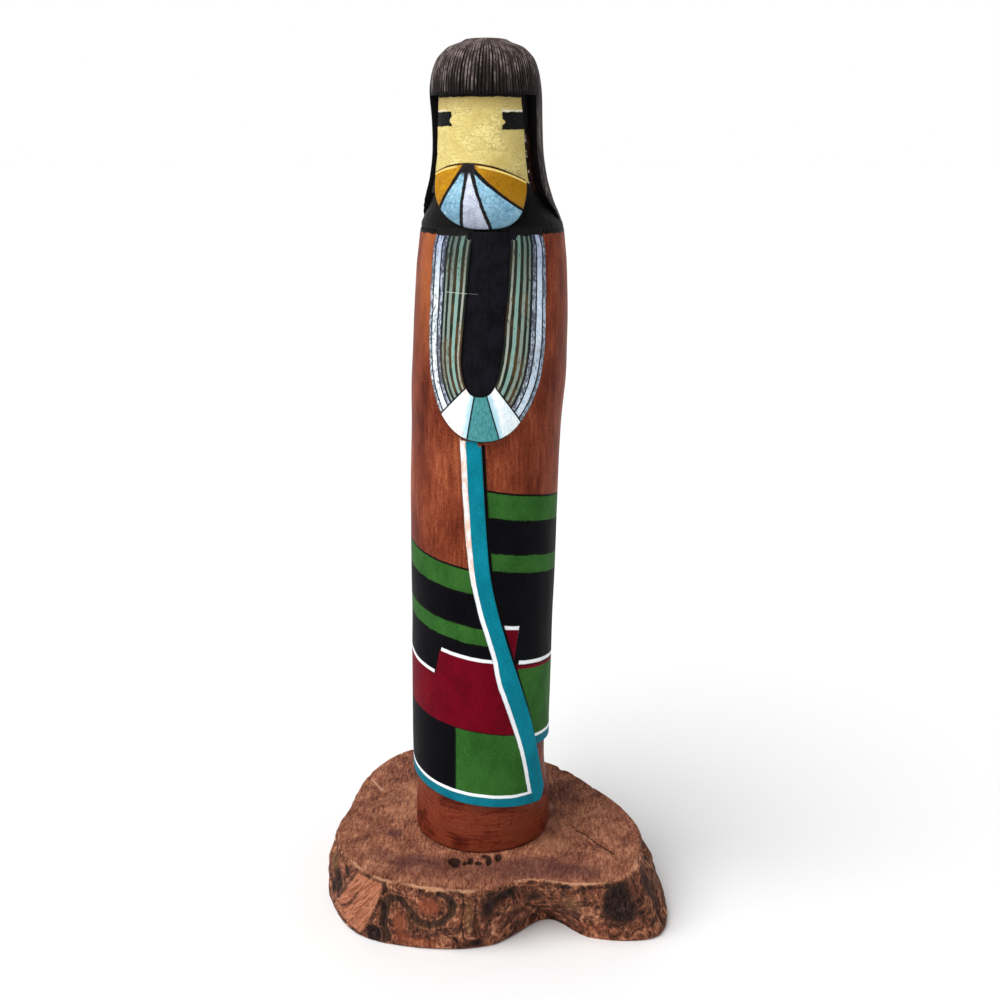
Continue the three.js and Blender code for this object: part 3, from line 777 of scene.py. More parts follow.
# %% The necklace's finish
def necklace_finish():
    beads = Finish("painted_necklace")
    angle, height = beads.read("angle"), beads.read("height")
    drift = beads.wobble(12, 0.14, seed=41)
    across = beads.add(beads.read("across"), drift, beads.wobble(2.4, 0.06, seed=42))
    chipped = beads.noise(0.42, (1, 1, 3.2), detail=4, rough=0.75, seed=43)
    worn = beads.noise(4.5, (1, 1, 2.5), detail=3, seed=44)
    # Below this height the threads are lighter; they are darker near the top of the necklace
    clean = beads.opposite(beads.above(height, 172, 9))

    # Between the threads the ground is blue-black outside and green-black inside, with brown stains
    inner_part = beads.above(across, 5.2, 0.3)
    ground = beads.mix(inner_part, paint(16, 22, 36), paint(20, 33, 27))
    stained = beads.times(beads.above(worn, 0.52, 0.08), inner_part, clean)
    ground = beads.mix(beads.times(stained, 0.75), ground, paint(84, 62, 34))
    # On the right the white threads are streaked darker and bluer: bluish streaks and painted shade
    on_right_side = beads.above(angle, 18, 8)
    streaky = beads.mix(beads.above(chipped, 0.5, 0.07), paint(170, 192, 216), paint(224, 234, 242))
    bright_white = beads.mix(on_right_side, paint(228, 238, 244), streaky)
    white = beads.mix(clean, paint(164, 176, 200), bright_white)
    lilac = beads.mix(clean, paint(136, 142, 164), paint(194, 204, 220))
    pale_green = beads.mix(clean, paint(92, 106, 100), paint(130, 146, 136))
    green = beads.mix(beads.times(clean, worn, 1.6), paint(96, 122, 112), paint(136, 172, 162))
    tan = beads.mix(clean, paint(104, 106, 98), paint(158, 162, 150))
    # Each thread: start and end across the band, colour, how much of the paint is chipped away
    threads = [
        (0.2, 1.25, white, 0.7),
        (1.7, 3.4, white, 0.25),
        (3.85, 4.85, lilac, 0.75),
        (5.6, 6.2, pale_green, 0.3),
        (7.0, 7.9, pale_green, 0.12),
        (8.85, 9.85, green, 0.08),
        (10.75, 11.35, tan, 0.2),
    ]
    colour = ground
    raised = 0.0
    for start, end, shade, loss in threads:
        mask = beads.between(across, start, end, 0.1)
        lost = beads.above(beads.add(chipped, beads.times(worn, 0.4)), 0.86 - 0.28 * loss, 0.06)
        mask = beads.times(mask, beads.opposite(beads.times(lost, 0.85)))
        colour = beads.mix(mask, colour, shade)
        raised = beads.either(raised, mask)

    # The pendant at the lowest point: white, teal and white wedges
    on_left = beside(beads, angle, height, (-13.3, 141.6), (-32.0, 133.8))
    on_right = beside(beads, angle, height, (27.1, 133.2), (8.2, 142.8))
    low = beads.opposite(beads.above(height, 143.2, 0.3))
    in_pendant = beads.times(beads.above(on_left, 0, 0.12), beads.above(on_right, 0, 0.12), low)
    teal_left = beside(beads, angle, height, (-5.4, 140.3), (-9.8, 128.0))
    teal_right = beside(beads, angle, height, (12.2, 128.5), (2.9, 140.3))
    in_teal = beads.times(beads.above(teal_left, 0, 0.12), beads.above(teal_right, 0, 0.12))
    shine = beads.mix(beads.above(chipped, 0.5, 0.2), paint(44, 112, 116), paint(86, 156, 158))
    soft = beads.noise(2.2, detail=3, seed=45)
    near_teal = beads.maths("MINIMUM", teal_left, teal_right)
    bluish = beads.above(beads.add(near_teal, beads.times(soft, 3.0)), 0.1, 0.9)
    streaked = beads.times(beads.above(angle, 13, 5), beads.above(chipped, 0.48, 0.08))
    bluish = beads.either(bluish, beads.times(streaked, 0.6))
    wedge_white = beads.mix(beads.times(bluish, 0.75), paint(244, 246, 246), paint(140, 200, 220))
    rim = beads.read("rim")
    near_rim = beads.opposite(beads.above(rim, 2.0, 0.8))
    rubbed = beads.times(beads.above(chipped, 0.55, 0.05), near_rim, beads.between(angle, -27, -10, 3))
    wedge_white = beads.mix(beads.times(rubbed, 0.7), wedge_white, paint(196, 118, 90))
    wedges = beads.mix(in_teal, wedge_white, shine)
    colour = beads.mix(in_pendant, colour, wedges)
    teal_lines = beads.either(beads.line(teal_left, 0, 0.42), beads.line(teal_right, 0, 0.36))
    lines = beads.either(
        beads.times(beads.line(on_left, 0, 0.45), beads.opposite(beads.above(angle, -10, 2)), low),
        beads.times(beads.line(on_right, 0, 0.45), beads.above(angle, 8, 1), low),
        beads.times(teal_lines, in_pendant),
    )
    outline = beads.opposite(beads.above(beads.add(rim, beads.wobble(1.6, 0.08, seed=47)), 0.3, 0.14))
    # Black paint dabbed under the head's edge, also standing for the head's painted shadow
    below_head = beads.add(beads.read("below"), beads.wobble(1.6, 0.6, seed=46))
    under_head = beads.opposite(beads.above(below_head, 1.15, 0.12))
    lines = beads.either(lines, outline, under_head)
    colour = beads.mix(lines, colour, BURNT_AND_SHADOW)
    colour = beads.mix(beads.times(scratch(beads, angle, height), 0.55), colour, paint(206, 214, 208))
    relief = beads.add(
        beads.times(beads.either(raised, in_pendant), 0.14),
        beads.times(chipped, 0.06),
        beads.times(lines, -0.12),
    )
    return beads.done(colour, beads.blend(chipped, 0.42, 0.62), relief, 0.5, 0.1)


# %% The black field inside the necklace
def chest_finish():
    field = Finish("black_chest")
    angle, height = field.read("angle"), field.read("height")
    fibre = field.noise(0.5, (1, 1, 5), detail=4, rough=0.65, seed=51)
    cloud = field.noise(4, detail=3, seed=52)
    tone = field.add(field.times(cloud, 0.5), field.times(fibre, 0.5))
    colour = field.mix(field.above(tone, 0.5, 0.14), paint(7, 7, 11), paint(19, 19, 26))
    colour = field.mix(field.times(scratch(field, angle, height), 0.3), colour, paint(150, 156, 160))
    return field.done(colour, field.blend(fibre, 0.5, 0.64), field.times(fibre, 0.12), 0.4, 0.05)


# %% [markdown]
# ## The hair
#
# The hair is a round body with about a hundred combed grooves that run from the shoulders to the
# crown. The carver cuts each with one pull of a gouge, so no two are equally deep or quite
# straight. Six columns of points to a groove are enough for a round-bottomed cut. A reading keeps
# how deep each point lies, because the grooves stay black while the ridges are rubbed lighter.

# %% The combed hair
GROOVES = 104
COLUMNS_PER_GROOVE = 6
GROOVE_DEPTH = 0.42
DOME_START = 0.9975
DOME_RISE = 0.0022 * DOLL_HEIGHT
print(GROOVES, "combed grooves,", round(math.pi * HEAD_DIAMETER / GROOVES, 2), "mm apart")


def hair(material):
    columns = GROOVES * COLUMNS_PER_GROOVE
    choice = np.random.default_rng(7)
    rise = spaced((0, 0.012, 3), (0.012, 0.86, 46), (0.86, 1, 22))
    dome = np.radians([18, 36, 54, 70, 84])
    shoulder = DOME_START * DOLL_HEIGHT
    height = np.append(HAIR_BOTTOM + rise * (shoulder - HAIR_BOTTOM), shoulder + DOME_RISE * np.sin(dome))
    closing = np.append(np.ones_like(rise), np.cos(dome))[:, None]
    turn = np.linspace(0, 360, columns, endpoint=False)
    turn, height = np.meshgrid(turn, height)
    groove = np.arange(columns) // COLUMNS_PER_GROOVE
    across = (np.arange(columns) % COLUMNS_PER_GROOVE) / COLUMNS_PER_GROOVE
    cut = np.exp(-(((across - 0.5) / 0.2) ** 2))
    strength = choice.uniform(0.55, 1.1, GROOVES)[groove]
    fade = choice.uniform(0, 2 * math.pi, GROOVES)[groove]
    pull = 0.82 + 0.22 * np.sin(height / 7.5 + fade)
    depth = cut * strength * pull
    radius, bow = hair_at(height)
    radius = radius * closing
    size = np.minimum(radius / (HEAD_DIAMETER / 2), 1.0)
    wander = 1.1 * np.sin(height / 17 + turn / 31) + 0.5 * np.sin(height / 6.1 + turn / 11)
    flat = round_the_doll(turn, height, radius, bow)
    carved = 0.07 * unevenness(flat, 20, 31)
    outside = radius + carved - HAIR_SHRINK - GROOVE_DEPTH * depth * size
    low_edge = np.clip(1 - (height - HAIR_BOTTOM) / 0.6, 0, 1)
    outside = outside - 0.25 * low_edge**2
    rings = round_the_doll(HEAD_TURN + turn + wander, height, outside, bow)
    in_front = np.abs((turn - HEAD_TURN + 180) % 360 - 180) < 84
    tip = np.where(in_front & (height > FRINGE - 0.05), height - FRINGE, 5)
    return round_body("hair", rings, {"depth": depth * size, "height": height, "tip": tip}, material)


# %% [markdown]
# The hair is painted black, and its ridges are coloured a brown-grey while the grooves stay dark.
# The brown-grey stands partly for rubbed paint and partly for a painted reflection of the sky. A
# pattern of stripes could mix the two colours, but it would drift off the carved grooves. The reading
# of how deep a point lies can't drift, so it chooses the colour.

# %% The hair's finish
def hair_finish():
    dark = Finish("combed_hair")
    depth, height = dark.read("depth"), dark.read("height")
    strand = dark.noise(0.34, (1, 1, 26), detail=5, rough=0.68, seed=61)
    lock = dark.noise(1.6, (1, 1, 9), detail=3, seed=62)
    # Painted highlight: the ridges are lighter and browner towards the crown
    lit_crown = dark.above(height, 0.968 * DOLL_HEIGHT, 7)
    tip = dark.read("tip")
    # Painted shade: the ridges darken towards the fringe's lower edge
    near_tip = dark.opposite(dark.above(tip, 3.6, 3.4))
    light = dark.add(
        dark.times(strand, 0.7),
        dark.times(lock, 0.66),
        dark.times(lit_crown, 0.04),
        dark.times(near_tip, -0.07),
    )
    # The ridges' brown-grey is partly rubbed paint and partly a painted reflection
    ridge = dark.ramp(
        light,
        (0.58, paint(13, 7, 6)),
        (0.65, paint(32, 23, 22)),
        (0.72, paint(80, 69, 69)),
        (0.81, paint(136, 124, 124)),
    )
    ridge = dark.mix(dark.times(lit_crown, 0.3), ridge, paint(104, 82, 72))
    in_cut = dark.above(dark.add(depth, dark.times(strand, 0.5)), 0.48, 0.18)
    colour = dark.mix(in_cut, ridge, paint(11, 5, 4))
    # Painted shade: nearly black on the fringe's lower edge and its underside
    fringe_edge_shade = dark.opposite(dark.above(dark.add(tip, dark.wobble(1.4, 0.3, seed=63)), 0.8, 0.25))
    colour = dark.mix(fringe_edge_shade, colour, paint(8, 5, 4))
    roughness = dark.blend(in_cut, 0.42, 0.75)
    return dark.done(colour, roughness, dark.times(strand, 0.14), 0.5, 0.14)


# %% [markdown]
# ## The face
#
# A window is cut into the front of the hair, deeper at the temples, and a flat-cheeked face stands
# in it. Cutting is a boolean: a block in the shape of the window is taken away from the hair. The
# window's sides lean outwards with the hair as it flares, so its width is a function of the height.

# %% The window and the face
# The beard's upper edge is an arch, and the cheeks end at it
BEARD_LOW = 0.79 * DOLL_HEIGHT
BEARD_REACH = 0.0725 * DOLL_HEIGHT
BEARD_ARCH = 0.0012
BEARD_TOP_TURN = -18
CHEEK_BOTTOM = 0.83 * DOLL_HEIGHT
# The block that cuts the window reaches this far out, clear of all the hair
WINDOW_CLEARANCE = 12
print("face", round(FRINGE - CHEEK_BOTTOM, 1), "mm high, beard", round(BEARD_REACH, 1), "mm high")


def cheek_left_at(height):
    return 50 + 13 * smooth(FRINGE - height, -3, 12)


def cheek_right_at(height):
    return 55.5 + 3 * smooth(FRINGE - height, 0, 10)


def temple_at(height):
    return 74 + 16 * smooth(HAIR_BOTTOM + 11 - height, 0, 10)


def head_block(name, left_at, right_at, low, high, outside, inside, grid, material):
    """A curved block before the head, with each skin's distance from the hair given by a function."""
    across, rise = np.meshgrid(np.linspace(-1, 1, grid[0]), np.linspace(0, 1, grid[1]))
    height = low + (high - low) * rise
    half = np.where(across < 0, left_at(height), right_at(height))
    radius, bow = hair_at(height)
    to_side = (1 - np.abs(across)) * np.radians(half) * radius
    angle = HEAD_TURN + half * across
    outer = round_the_doll(angle, height, radius + outside(across, height, to_side), bow)
    inner = round_the_doll(angle, height, radius + inside(across, height, to_side), bow)
    readings = {"angle": angle, "height": height, "side": to_side, "under": np.maximum(FRINGE - height, 0)}
    beard_line = BEARD_LOW + BEARD_REACH - BEARD_ARCH * (angle - BEARD_TOP_TURN) ** 2
    readings["above_beard"] = np.maximum(height - beard_line, 0)
    readings["whole"] = np.ones_like(height)
    return plate(name, outer, inner, readings, material)


def face(material):
    def cheeks(across, height, to_side):
        return -FACE_SET_BACK - rounded(to_side, 0.6) + 0.04 * np.sin(height * 1.3 + across * 7)

    def buried(across, height, to_side):
        return -3 * TEMPLE_SET_BACK

    low, high = CHEEK_BOTTOM, FRINGE + 0.6
    return head_block("face", cheek_left_at, cheek_right_at, low, high, cheeks, buried, (81, 60), material)


def window(material):
    def clear(across, height, to_side):
        return WINDOW_CLEARANCE

    def sunk(across, height, to_side):
        fading = smooth(height, HAIR_BOTTOM, HAIR_BOTTOM + 8)
        ripple = 0.1 * np.sin(height * 0.9) * np.cos(across * 40) * fading
        return ripple - np.maximum(TEMPLE_SET_BACK * fading, 0.25)

    low = HAIR_BOTTOM - 1
    return head_block("window", temple_at, temple_at, low, FRINGE, clear, sunk, (90, 60), material)


# %% [markdown]
# The face is painted a pale yellow of uneven tone that wrinkled finely as it dried. Painted shade
# darkens its right side and its top under the fringe, and a painted shadow lies just under the fringe.
# Two black blocks stand for the eyes, and their inner edges are ragged, because a loaded brush was
# set down there. The strip beside the cheeks is nearly black, and where it was knocked the white
# ground and the bare wood show.

# %% The face's finish
# For each eye: low and high level, inner end in degrees, its ragged notch in degrees, notch level
EYE_LEFT = (209.5, 213.1, -37.3, -3.6, 210.8)
EYE_RIGHT = (208.6, 213.0, 20.8, 3.6, 210.5)


def face_finish():
    skin = Finish("painted_face")
    angle, height, to_side = skin.read("angle"), skin.read("height"), skin.read("side")
    spots = skin.noise(0.45, detail=4, rough=0.7, seed=72)
    cloud = skin.noise(6, detail=3, seed=73)
    crumple = skin.noise(1.5, (1.5, 1.5, 0.8), detail=3, rough=0.55, seed=71, warp=1.2)
    wrinkle = skin.line(crumple, 0.5, 0.025, 0.02)
    wrinkle = skin.times(wrinkle, skin.above(cloud, 0.47, 0.08))
    tone = skin.add(skin.times(spots, 0.4), skin.times(cloud, 0.6))
    colour = skin.ramp(
        tone,
        (0.38, paint(192, 170, 98)),
        (0.5, paint(216, 197, 124)),
        (0.62, paint(230, 214, 142)),
    )
    colour = skin.mix(skin.times(wrinkle, 0.5), colour, paint(150, 124, 68))
    # Painted shade: the right side of the face is darker
    shaded = skin.above(skin.add(angle, skin.wobble(8, 3, seed=79)), 26, 24)
    colour = skin.mix(skin.times(shaded, 0.5), colour, paint(150, 136, 82))
    colour = skin.mix(skin.times(skin.above(spots, 0.63, 0.06), 0.25), colour, paint(160, 138, 84))
    # Painted shade: the top of the face under the fringe is darker
    brow_shade = skin.above(height, FRINGE - 3.2, 3.0)
    colour = skin.mix(skin.times(brow_shade, 0.75), colour, paint(150, 128, 74))
    level = skin.add(height, skin.wobble(2.6, 0.2, seed=76), skin.wobble(0.8, 0.08, seed=77))
    ragged = skin.add(angle, skin.wobble(0.8, 1.3, seed=74))
    eyes = []
    chalk = []
    for low, high, end, notch, notch_level in (EYE_LEFT, EYE_RIGHT):
        bite = skin.times(skin.line(level, notch_level, 1.0, 0.5), notch)
        past_end = skin.above(skin.maths("SUBTRACT", ragged, bite), end, 0.7)
        inside = skin.opposite(past_end) if notch < 0 else past_end
        eyes.append(skin.times(skin.between(level, low, high, 0.1), inside))
        chalk.append(skin.times(skin.line(level, high + 0.3, 0.45, 0.25), inside))
    outer_left = skin.opposite(skin.above(angle, -45, 6))
    chalk = skin.either(skin.times(chalk[0], outer_left), chalk[1])
    colour = skin.mix(skin.times(chalk, 0.6), colour, paint(232, 232, 224))
    eye = skin.either(*eyes)
    eye_black = skin.mix(skin.above(spots, 0.58, 0.08), paint(5, 5, 5), paint(30, 29, 28))
    colour = skin.mix(eye, colour, eye_black)
    edge = skin.opposite(skin.above(to_side, 0.32, 0.16))
    colour = skin.mix(skin.times(edge, 0.85), colour, paint(22, 16, 13))
    # Painted shadow: a nearly black band just under the fringe
    under = skin.add(skin.read("under"), skin.wobble(2.2, 0.25, seed=78))
    shadow_under_fringe = skin.opposite(skin.above(under, 0.75, 0.16))
    colour = skin.mix(shadow_under_fringe, colour, paint(8, 5, 4))
    to_beard = skin.add(skin.read("above_beard"), skin.wobble(2.0, 0.08, seed=80))
    below_cheek = skin.opposite(skin.above(to_beard, 0.2, 0.1))
    colour = skin.mix(below_cheek, colour, paint(7, 5, 5))
    relief = skin.add(
        skin.times(crumple, 0.3),
        skin.times(wrinkle, -0.12),
        skin.times(spots, 0.14),
        skin.times(eye, spots, 0.2),
    )
    return skin.done(colour, skin.blend(spots, 0.46, 0.66), relief, 0.85, 0.1)


# %% The dark strip beside the cheeks
def temple_finish():
    strip = Finish("dark_temples")
    angle, height = strip.read("angle"), strip.read("height")
    fibre = strip.noise(0.5, (1, 1, 6), detail=4, rough=0.65, seed=81)
    chips = strip.noise(1.2, (1, 1, 2.2), detail=5, rough=0.7, seed=82)
    colour = strip.mix(strip.above(fibre, 0.56, 0.08), paint(4, 2, 2), paint(16, 10, 9))
    right = strip.times(strip.between(angle, 50, 63, 2), strip.between(height, 193.5, 206.5, 1.5))
    left = strip.times(strip.between(angle, -84, -70, 2), strip.between(height, 195, 201, 1))
    knocked = strip.either(right, left)
    knocked = strip.times(knocked, strip.above(strip.read("whole"), 0.97, 0.02))
    bare = strip.times(knocked, strip.above(chips, 0.5, 0.05))
    colour = strip.mix(strip.times(bare, 0.6), colour, paint(72, 33, 25))
    white = strip.times(knocked, strip.opposite(strip.above(angle, 57, 1)), strip.above(chips, 0.55, 0.02))
    colour = strip.mix(white, colour, paint(204, 196, 186))
    return strip.done(colour, strip.blend(fibre, 0.42, 0.62), strip.times(fibre, 0.2), 0.5, 0.08)


# %% [markdown]
# ## The beard
#
# The beard fans out below the mouth as a shallow bulge with an arched top and a rounded hem. Its
# feathers are painted wedges that meet at one point, kept apart by black lines. A wedge's border is
# a curve: an angle for each height below that point, so one comparison gives the border, and the
# distance from it gives the line.

# %% The beard's form
BEARD_HEM_RISE = 0.052 * DOLL_HEIGHT
BEARD_CENTRE = -4.5
LEFT_HALF_HEM, LEFT_HALF_TOP, RIGHT_HALF = 50, 58, 47.2
LEFT_SQUARE, RIGHT_SQUARE = 2.3, 3.3


def beard(material):
    across = spaced((-1, -0.94, 4), (-0.94, 0.94, 60), (0.94, 1, 4))
    side, rise = np.meshgrid(across, spaced((0, 0.1, 9), (0.1, 0.97, 36), (0.97, 1, 3)))
    left = side < 0
    half = np.where(left, LEFT_HALF_HEM + (LEFT_HALF_TOP - LEFT_HALF_HEM) * rise, RIGHT_HALF)
    angle = BEARD_CENTRE + half * side
    low = BEARD_LOW + BEARD_HEM_RISE * np.abs(side) ** np.where(left, LEFT_SQUARE, RIGHT_SQUARE)
    high = BEARD_LOW + BEARD_REACH - BEARD_ARCH * (angle - BEARD_TOP_TURN) ** 2
    height = low + (high - low) * rise
    radius, bow = hair_at(height)
    up = (height - BEARD_LOW) / BEARD_REACH
    swell = 0.6 * (1 - up) - FACE_SET_BACK * up + 4.4 * up * (1 - up)
    to_side = (1 - np.abs(side)) * np.radians(half) * radius
    to_low = height - low
    outside = radius + swell - rounded(to_side, 0.7) - rounded(to_low, 1.2)
    outer = round_the_doll(angle, height, outside, bow)
    inner = round_the_doll(angle, height, radius - 3 * TEMPLE_SET_BACK, bow)
    readings = {"angle": angle, "height": height, "rim": np.minimum(to_side, to_low), "top": high - height}
    return plate("beard", outer, inner, readings, material)


# %% The beard's finish
FAN_TOP = 199.6
# Each border: angle at the apex, degrees per millimetre down, and how the border bends
FAN_BORDERS = [(-21.0, -2.2, 0.05), (-16.8, -0.13, 0.0), (-14.3, 1.45, -0.022), (-14.8, 3.85, 0.02)]
BEARD_MM_PER_DEGREE = 0.295


def beard_finish():
    fan = Finish("painted_beard")
    angle, height, rim, top = (fan.read(name) for name in ("angle", "height", "rim", "top"))
    angle = fan.add(angle, fan.wobble(3, 0.5, seed=91), fan.wobble(0.9, 0.25, seed=95))
    down = fan.maths("SUBTRACT", FAN_TOP, height)
    stipple = fan.noise(0.7, detail=4, rough=0.7, seed=92)
    cloud = fan.noise(5, detail=2, seed=93)
    crumple = fan.line(fan.noise(1.3, detail=2, seed=94, warp=1.0), 0.5, 0.03, 0.02)
    blotch = fan.add(fan.times(stipple, 0.5), fan.times(cloud, 0.5))
    orange = fan.mix(fan.above(blotch, 0.5, 0.15), paint(160, 106, 0), paint(192, 138, 3))
    # Painted shade: the orange is darker on the right
    orange_shade_right = fan.above(angle, 4, 12)
    orange = fan.mix(fan.times(orange_shade_right, 0.75), orange, paint(136, 94, 0))
    blue = fan.mix(fan.above(blotch, 0.5, 0.15), paint(92, 144, 172), paint(146, 194, 218))
    lilac = fan.mix(fan.above(blotch, 0.5, 0.15), paint(164, 170, 192), paint(210, 216, 234))
    wedges = [blue, lilac, blue, orange]
    colour = orange
    beyond = []
    lines = 0.0
    for (start, slope, bend), next_colour in zip(FAN_BORDERS, wedges):
        border = fan.add(start, fan.times(down, slope), fan.times(down, down, bend))
        off = fan.maths("SUBTRACT", angle, border)
        beyond.append(fan.above(off, 0, 0.3))
        colour = fan.mix(beyond[-1], colour, next_colour)
        shorten = BEARD_MM_PER_DEGREE / math.hypot(1, slope * BEARD_MM_PER_DEGREE)
        width = fan.blend(fan.above(down, 5.0, 4.0), 1.12, 0.78)
        lines = fan.either(lines, fan.line(fan.times(off, shorten), 0, width, 0.1))
    # Painted shade: darker low down, where the beard turns in towards the chest
    painted_shade_low = fan.opposite(fan.above(height, BEARD_LOW + 5.0, 5.5))
    colour = fan.mix(fan.times(painted_shade_low, 0.55), colour, paint(44, 62, 70))
    in_fan = fan.times(beyond[0], fan.opposite(beyond[-1]), fan.opposite(painted_shade_low))
    colour = fan.mix(fan.times(crumple, in_fan, 0.35), colour, paint(70, 86, 98))
    # Painted highlights: pale wrinkles on the feathers
    painted_highlights = fan.above(fan.noise(0.6, (1, 1, 1.5), detail=3, seed=96, warp=1.2), 0.58, 0.04)
    colour = fan.mix(fan.times(painted_highlights, in_fan, 0.45), colour, paint(214, 232, 240))
    blob = fan.times(fan.opposite(fan.above(down, 2.3, 0.8)), fan.between(angle, -24, -9, 2.2))
    arch = fan.line(top, 0.06, 0.4, 0.1)
    glint = fan.times(fan.line(top, 0.66, 0.5, 0.14), fan.opposite(fan.between(angle, -30, -6, 4)))
    colour = fan.mix(fan.times(glint, 0.8), colour, paint(236, 214, 130))
    outline = fan.opposite(fan.above(rim, 0.42, 0.15))
    lines = fan.either(lines, blob, arch, outline)
    colour = fan.mix(lines, colour, BURNT_AND_SHADOW)
    relief = fan.add(fan.times(stipple, 0.2), fan.times(crumple, 0.1), fan.times(lines, -0.14))
    return fan.done(colour, fan.blend(stipple, 0.4, 0.6), relief, 0.8, 0.12)


# %% [markdown]
# ## One carving
#
# The doll is one piece of wood, so its parts are joined into one skin. Blender's manifold boolean
# keeps the readings and the materials of every part, removes what is buried inside, and is quick
# even on meshes this fine. Only at the points of a cut do the readings fall to nought, so the
# finishes use readings that still tell the right thing there. Faces that meet at a carved edge stay
# sharp and the rest is smooth.


# %% The trunk under the blanket
def trunk(material):
    height = spaced((0, 0.6, 3), (0.6, 40, 30), (40, 0.81 * DOLL_HEIGHT, 20))
    turn, height = np.meshgrid(np.linspace(0, 360, 150, endpoint=False), height)
    radius, bow = trunk_at(height)
    flat = round_the_doll(turn, height, radius, bow)
    foot_edge = 0.5 * np.clip(1 - height / 0.6, 0, 1) ** 2
    carved = 0.12 * unevenness(flat, 18, 41) + 0.05 * unevenness(flat * (1, 1, 0.5), 4, 42)
    rings = round_the_doll(turn, height, radius + carved - foot_edge, bow)
    return round_body("figure_carved", rings, {"height": height}, material)


# %% Joining the parts
def apply_boolean(body, tool, operation):
    join = body.modifiers.new(operation.lower(), "BOOLEAN")
    join.solver = "MANIFOLD"
    join.operation = operation
    join.material_mode = "TRANSFER"
    join.object = tool
    changed = bpy.data.meshes.new_from_object(body.evaluated_get(bpy.context.evaluated_depsgraph_get()))
    body.modifiers.clear()
    old = body.data
    body.data = changed
    print(operation.lower(), tool.name, "leaves", len(changed.vertices), "points")
    bpy.data.meshes.remove(old)
    bpy.data.objects.remove(tool)
    return body


def smooth_but_for_edges(piece, sharpest):
    piece.data.polygons.foreach_set("use_smooth", [True] * len(piece.data.polygons))
    piece.data.set_sharp_from_angle(angle=math.radians(sharpest))
    return piece


temples = temple_finish()
head = apply_boolean(hair(hair_finish()), window(temples), "DIFFERENCE")
head = apply_boolean(head, face(face_finish()), "UNION")
head = apply_boolean(head, beard(beard_finish()), "UNION")
figure = trunk(foot_finish())
for part in (blanket(blanket_finish()), chest(chest_finish()), necklace(necklace_finish()), head):
    apply_boolean(figure, part, "UNION")
smooth_but_for_edges(figure, 38)
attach(figure, "root")
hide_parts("figure")
figure.data.calc_loop_triangles()
print("the doll has", len(figure.data.loop_triangles), "triangles in", len(figure.data.materials), "finishes")


# %% [markdown]
# ## The slab
#
# The slab is cut across a root: its top and underside are sawn, and its edge has grown. Two outlines
# describe it, one round the top and one round the foot, and the edge swells between them. The same
# points that shape the solid are joined by the same kind of curve here, then the grown edge is
# given bark ridges, pits and facets. All of that is cut inwards, so the slab keeps its size.

# %% The two outlines, as shares of half the slab's length and depth
TOP_OUTLINE = [
    (0.88, -0.12), (0.79, 0.21), (0.6, 0.55), (0.35, 0.88), (-0.12, 1.05),
    (-0.55, 1.04), (-0.76, 0.65), (-0.82, 0.1), (-0.84, -0.35), (-0.62, -0.78),
    (-0.3, -0.93), (0.02, -0.94), (0.28, -0.79), (0.56, -0.82), (0.8, -0.71),
]
FOOT_OUTLINE = [
    (1.035, -0.28), (0.93, 0.36), (0.67, 0.69), (0.36, 0.91), (-0.12, 1.06),
    (-0.56, 1.06), (-0.8, 0.67), (-0.915, 0.14), (-0.91, -0.26), (-0.68, -0.75),
    (-0.34, -0.88), (0.06, -0.83), (0.38, -0.5), (0.62, -0.69), (0.975, -0.64),
]


def closed_curve(shares, steps):
    """A centripetal Catmull-Rom curve through the points, read at evenly spaced steps."""
    points = np.array(shares) * (SLAB_LENGTH / 2, SLAB_DEPTH / 2)
    count = len(points)
    at = np.arange(steps) / steps * count
    i = at.astype(int)
    t = (at - i)[:, None]
    p = [points[(i + offset) % count] for offset in (-1, 0, 1, 2)]
    gap = [np.sqrt(np.linalg.norm(p[k + 1] - p[k], axis=1))[:, None] for k in range(3)]
    leaving = (p[1] - p[0]) / gap[0] - (p[2] - p[0]) / (gap[0] + gap[1]) + (p[2] - p[1]) / gap[1]
    arriving = (p[2] - p[1]) / gap[1] - (p[3] - p[1]) / (gap[1] + gap[2]) + (p[3] - p[2]) / gap[2]
    leaving, arriving = leaving * gap[1], arriving * gap[1]
    bend = -3 * p[1] + 3 * p[2] - 2 * leaving - arriving
    twist = 2 * p[1] - 2 * p[2] + leaving + arriving
    return p[1] + leaving * t + bend * t**2 + twist * t**3


# %% [markdown]
# Some marks on the slab are easy to tell apart: a black eye of old bark at the right, a crumbly dark
# patch in the middle, a pale split facet at the left with a curl of dark grain beside it, a row of
# pits before the doll's foot. Each is a spot with a place, a size and a strength. Added up over all
# points they give readings that the finish breaks up with noise, so no spot keeps a clean outline.

